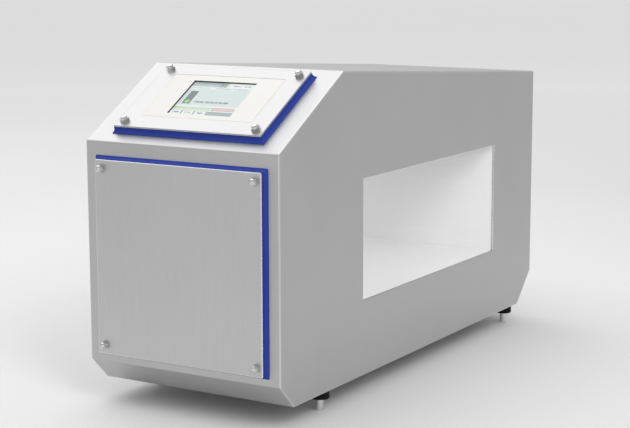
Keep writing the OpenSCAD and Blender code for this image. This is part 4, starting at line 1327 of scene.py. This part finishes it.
        # The plug ends this far under the slope: socket floor, play, plug and the board's own depth
        depth = 0.002 + 0.0004 + 0.016 - (0.010 - 0.022 - 0.0016)
        x = DISPLAY_LEAD_X
        start = Vector((x, SCREEN_MID * cos(SLOPE) + depth * sin(SLOPE),
                        FRONT_H + SCREEN_MID * sin(SLOPE) - depth * cos(SLOPE)))
        tail = start + 2 * LEAD_BEND_R * Vector((0, sin(SLOPE), -cos(SLOPE)))
        turn = Vector((x, front, (tail.z + BOARD_TOP) / 2 + LEAD_BEND_R))
        yield "display_lead_run", "display_lead", [[start, tail, turn, Vector((x, front, BOARD_TOP))]]
        yield "supply_lead_run", "supply_lead", [[Vector((SUPPLY_LEAD_X, front, z)) for z in SUPPLY_LEAD_Z]]

    def display_board(self):
        """Back of the display board: socket, chips with their legs, capacitors and a ribbon connector."""
        place = screen_matrix()
        names = ("display_board_green", "connector_white", "component_black", "polished_steel", "zinc_steel")
        white, steel = 1, 3
        bm = bmesh.new()
        slab(bm, 0.1418, 0.113, BACK_Z, BACK_Z + 0.0016, 0.002, 0.0002, 5, place)
        outer, inner = rounded_rectangle(0.030, 0.012, 0.001, 2), rounded_rectangle(0.027, 0.009, 0.0006, 2)
        levels = ((outer, 0.0), (outer, 0.008), (inner, 0.008), (inner, 0.002))
        painted(bm, white, loft, [[(x + DISPLAY_LEAD_X, y, BACK_Z - z) for x, y in points]
                                  for points, z in levels], place)
        for index, x, y, w, l, h in BACK_PARTS:
            painted(bm, index, block, (x, y, BACK_Z - h), (x + w, y + l, BACK_Z), 0.0004, place)
            for k in range(int((w - 0.002) / LEG_PITCH) if h <= 0.003 else 0):
                left = x + 0.0012 + k * LEG_PITCH
                for low in (y - 0.0014, y + l - 0.0002):
                    painted(bm, steel, block, (left, low, BACK_Z - 0.0008),
                            (left + 0.0008, low + 0.0016, BACK_Z), 0.0001, place)
        can = [(0.0034, 0.0), (0.0036, 0.0004), (0.0036, 0.0012), (0.0033, 0.0016), (0.0036, 0.0020),
               (0.0036, 0.0068), (0.0033, 0.0072)]
        for k in range(4):
            spot = place @ Matrix.Translation((-0.060 + 0.009 * k, -0.046, BACK_Z))
            painted(bm, steel, lathe, can, 24, spot @ Matrix.Rotation(pi, 4, "X"))
        return new_mesh(bm, names)

    def display_plug(self):
        """Plug of the display lead, with grip ribs and a narrow neck; it stays on the lead."""
        place = screen_matrix() @ Matrix.Translation((DISPLAY_LEAD_X, 0, BACK_Z))
        forms = [(0.0, 0.0131, 0.0041, -0.0124, -0.0024, 0.0006),
                 (0.0, 0.0150, 0.0054, -0.0150, -0.0116, 0.0010),
                 (0.0, 0.0085, 0.0044, -0.0184, -0.0146, 0.0014)]
        forms += [(x, 0.0007, 0.0059, -0.0146, -0.0120, 0.0003)
                  for x in (-0.0105, -0.0070, -0.0035, 0.0, 0.0035, 0.0070, 0.0105)]
        bm = bmesh.new()
        for x, w, l, z0, z1, bevel in forms:
            block(bm, (x - w, -l, z0), (x + w, l, z1), bevel, place)
        return new_mesh(bm, ("component_black",))

    def execute(self, context):
        hand_over("display_board_set", self.display_board(), "console", "board_green", "display_board")
        hand_over("display_lead_plug", self.display_plug(), "housing", "component_black", "display_plug")
        hand_over("board_components", self.board_parts(), "housing", "component_black", "board_parts")
        hand_over("terminal_row", self.terminal_row(), "housing", "terminal_grey", "terminals")
        for name, node, routes in self.leads():
            bm = bmesh.new()
            for route in routes:
                tube(bm, rounded_path([body_matrix() @ p for p in route], LEAD_BEND_R), LEAD_R)
            mesh = new_mesh(bm, ("cable_jacket",))
            hand_over(name, mesh, "housing", "cable_jacket", node, smooth=50.0)
        return {"FINISHED"}


class DETECTOR_OT_finishes(bpy.types.Operator):
    """Finishes of the CAD parts that stay as they are"""
    bl_idname = "detector.finishes"
    bl_label = "Finishes"

    def execute(self, context):
        finishes = {part["node"]: part["material_slot"] for part in frame["record"]["subparts"]}
        finishes["power_supply"] = "supply_case"
        for name, obj in frame["nodes"].items():
            if obj.hide_render:
                continue
            material = finish(finishes[name])
            if obj.material_slots:
                for spot in obj.material_slots:
                    spot.material = material
            else:
                obj.data.materials.append(material)
        return {"FINISHED"}


# Stage

def area_lamp(name, place, target, size, power, spread=180.0, mirrored=True):
    lamp = bpy.data.lights.new(name, "AREA")
    lamp.shape = "RECTANGLE"
    lamp.size, lamp.size_y = size
    lamp.energy = power
    lamp.spread = radians(spread)
    obj = linked(name, lamp)
    obj.visible_glossy = mirrored
    obj.location = place
    obj.rotation_euler = (Vector(target) - Vector(place)).to_track_quat("-Z", "Y").to_euler()


# The photograph's view, solved from the corners of the housing: place, azimuth, elevation and roll, and the
# focal length in pixels of its width
CAMERA_PLACE = (1.4437, -2.4610, 0.7424)
CAMERA_TURNS = (30.926, 9.604, 0.115)
FOCAL_PIXELS = 1632.64
PHOTO_WIDTH = 630
SENSOR_MM = 36.0


def add_camera():
    azimuth, elevation, roll = (radians(a) for a in CAMERA_TURNS)
    back = Vector((sin(azimuth) * cos(elevation), -cos(azimuth) * cos(elevation), sin(elevation)))
    right = Vector((cos(azimuth), sin(azimuth), 0))
    up = back.cross(right)
    right, up = cos(roll) * right - sin(roll) * up, sin(roll) * right + cos(roll) * up
    data = bpy.data.cameras.new("view_camera")
    data.sensor_width = SENSOR_MM
    data.lens = FOCAL_PIXELS / PHOTO_WIDTH * SENSOR_MM
    data.clip_end = 200.0
    camera = linked("view_camera", data)
    camera.matrix_world = Matrix.Translation(CAMERA_PLACE) @ Matrix((right, up, back)).transposed().to_4x4()
    bpy.context.scene.camera = camera


class DETECTOR_OT_stage(bpy.types.Operator):
    """Pale floor, soft studio light and the camera"""
    bl_idname = "detector.stage"
    bl_label = "Stage"

    def add_floor(self):
        """Floor whose colour turns from near to far, so that it ends in the backdrop."""
        f = Finish("stage_floor", (0.35, 2.0, 0.5))
        x, y, z = f.parts(f.mapped())
        reach = x.maths("POWER", x * x + y * y, 0.5)
        colour = f.mix(f.spread(reach, low=2.2, high=5.5), tint("floor"), tint("backdrop"))
        colour = f.mix(f.spread(f.grains[0]) * 0.02, colour, (0.5, 0.5, 0.5))
        f.set(colour=colour, roughness=0.9, specular=0.1)
        bm = bmesh.new()
        bmesh.ops.create_grid(bm, x_segments=8, y_segments=8, size=60.0)
        mesh = bpy.data.meshes.new("stage_floor")
        bm.to_mesh(mesh)
        bm.free()
        mesh.materials.append(f.material)
        linked("stage_floor", mesh)

    def add_world(self, scene):
        """Soft light, with one tone for diffuse light, one for mirror images and one for the camera."""
        world = bpy.data.worlds.new("studio")
        scene.world = world
        world.use_nodes = True
        world.node_tree.nodes.clear()
        g = Graph(world.node_tree)
        seen = g.node("ShaderNodeLightPath", output="Is Camera Ray")
        mirrored = g.output_of(seen, "Is Glossy Ray").largest(g.output_of(seen, "Is Transmission Ray"))
        soft, pale, far = (g.node("ShaderNodeBackground", {"Color": (tone, tone, tone, 1)})
                           for tone in (0.90, 0.64, 0.71))
        light = g.node("ShaderNodeMixShader", {0: mirrored, 1: soft, 2: pale})
        light = g.node("ShaderNodeMixShader", {0: seen, 1: light, 2: far})
        end = world.node_tree.nodes.new("ShaderNodeOutputWorld")
        world.node_tree.links.new(light.socket, end.inputs[0])

    def execute(self, context):
        self.add_floor()
        self.add_world(context.scene)
        passage = (0, 0.1, 0.25)
        area_lamp("key_softbox", (-1.5, 0.2, 3.2), (0, -0.2, 0.3), (4.0, 4.0), 66)
        area_lamp("passage_softbox_high", (2.4, -1.7, 2.7), passage, (1.4, 1.4), 5.7, 60, False)
        area_lamp("passage_softbox_low", (2.9, -1.9, 1.9), passage, (1.4, 1.2), 2.3, 60, False)
        area_lamp("bevel_softbox", (0.2, -3.6, 0.5), (0, -0.4, 0.05), (1.6, 0.6), 0.7, 60)
        add_camera()
        return {"FINISHED"}


OPERATORS = [DETECTOR_OT_stage, DETECTOR_OT_housing, DETECTOR_OT_cover, DETECTOR_OT_console,
             DETECTOR_OT_cap_screws, DETECTOR_OT_display, DETECTOR_OT_feet, DETECTOR_OT_entries,
             DETECTOR_OT_coils, DETECTOR_OT_electronics, DETECTOR_OT_finishes]


class DETECTOR_PT_pieces(bpy.types.Panel):
    """Lists the sizes, the colours and the pieces of the detector"""
    bl_idname = "DETECTOR_PT_pieces"
    bl_label = "Metal detector"
    bl_space_type = "VIEW_3D"
    bl_region_type = "UI"
    bl_category = "Detector"

    def draw(self, context):
        column = self.layout.column()
        for group in (context.scene.detector_sizes, context.scene.detector_colours):
            for key in group.__annotations__:
                column.prop(group, key)
        for operator in OPERATORS:
            column.operator(operator.bl_idname)


CLASSES = [DetectorSizes, DetectorColours, *OPERATORS, DETECTOR_PT_pieces]


def register():
    for cls in CLASSES:
        bpy.utils.register_class(cls)
    bpy.types.Scene.detector_sizes = PointerProperty(type=DetectorSizes)
    bpy.types.Scene.detector_colours = PointerProperty(type=DetectorColours)


def unregister():
    del bpy.types.Scene.detector_colours
    del bpy.types.Scene.detector_sizes
    for cls in reversed(CLASSES):
        bpy.utils.unregister_class(cls)


def main():
    register()
    bpy.context.scene.view_settings.view_transform = "Standard"
    for operator in OPERATORS:
        group, name = operator.bl_idname.split(".")
        getattr(getattr(bpy.ops, group), name)()


if __name__ == "__main__":
    main()
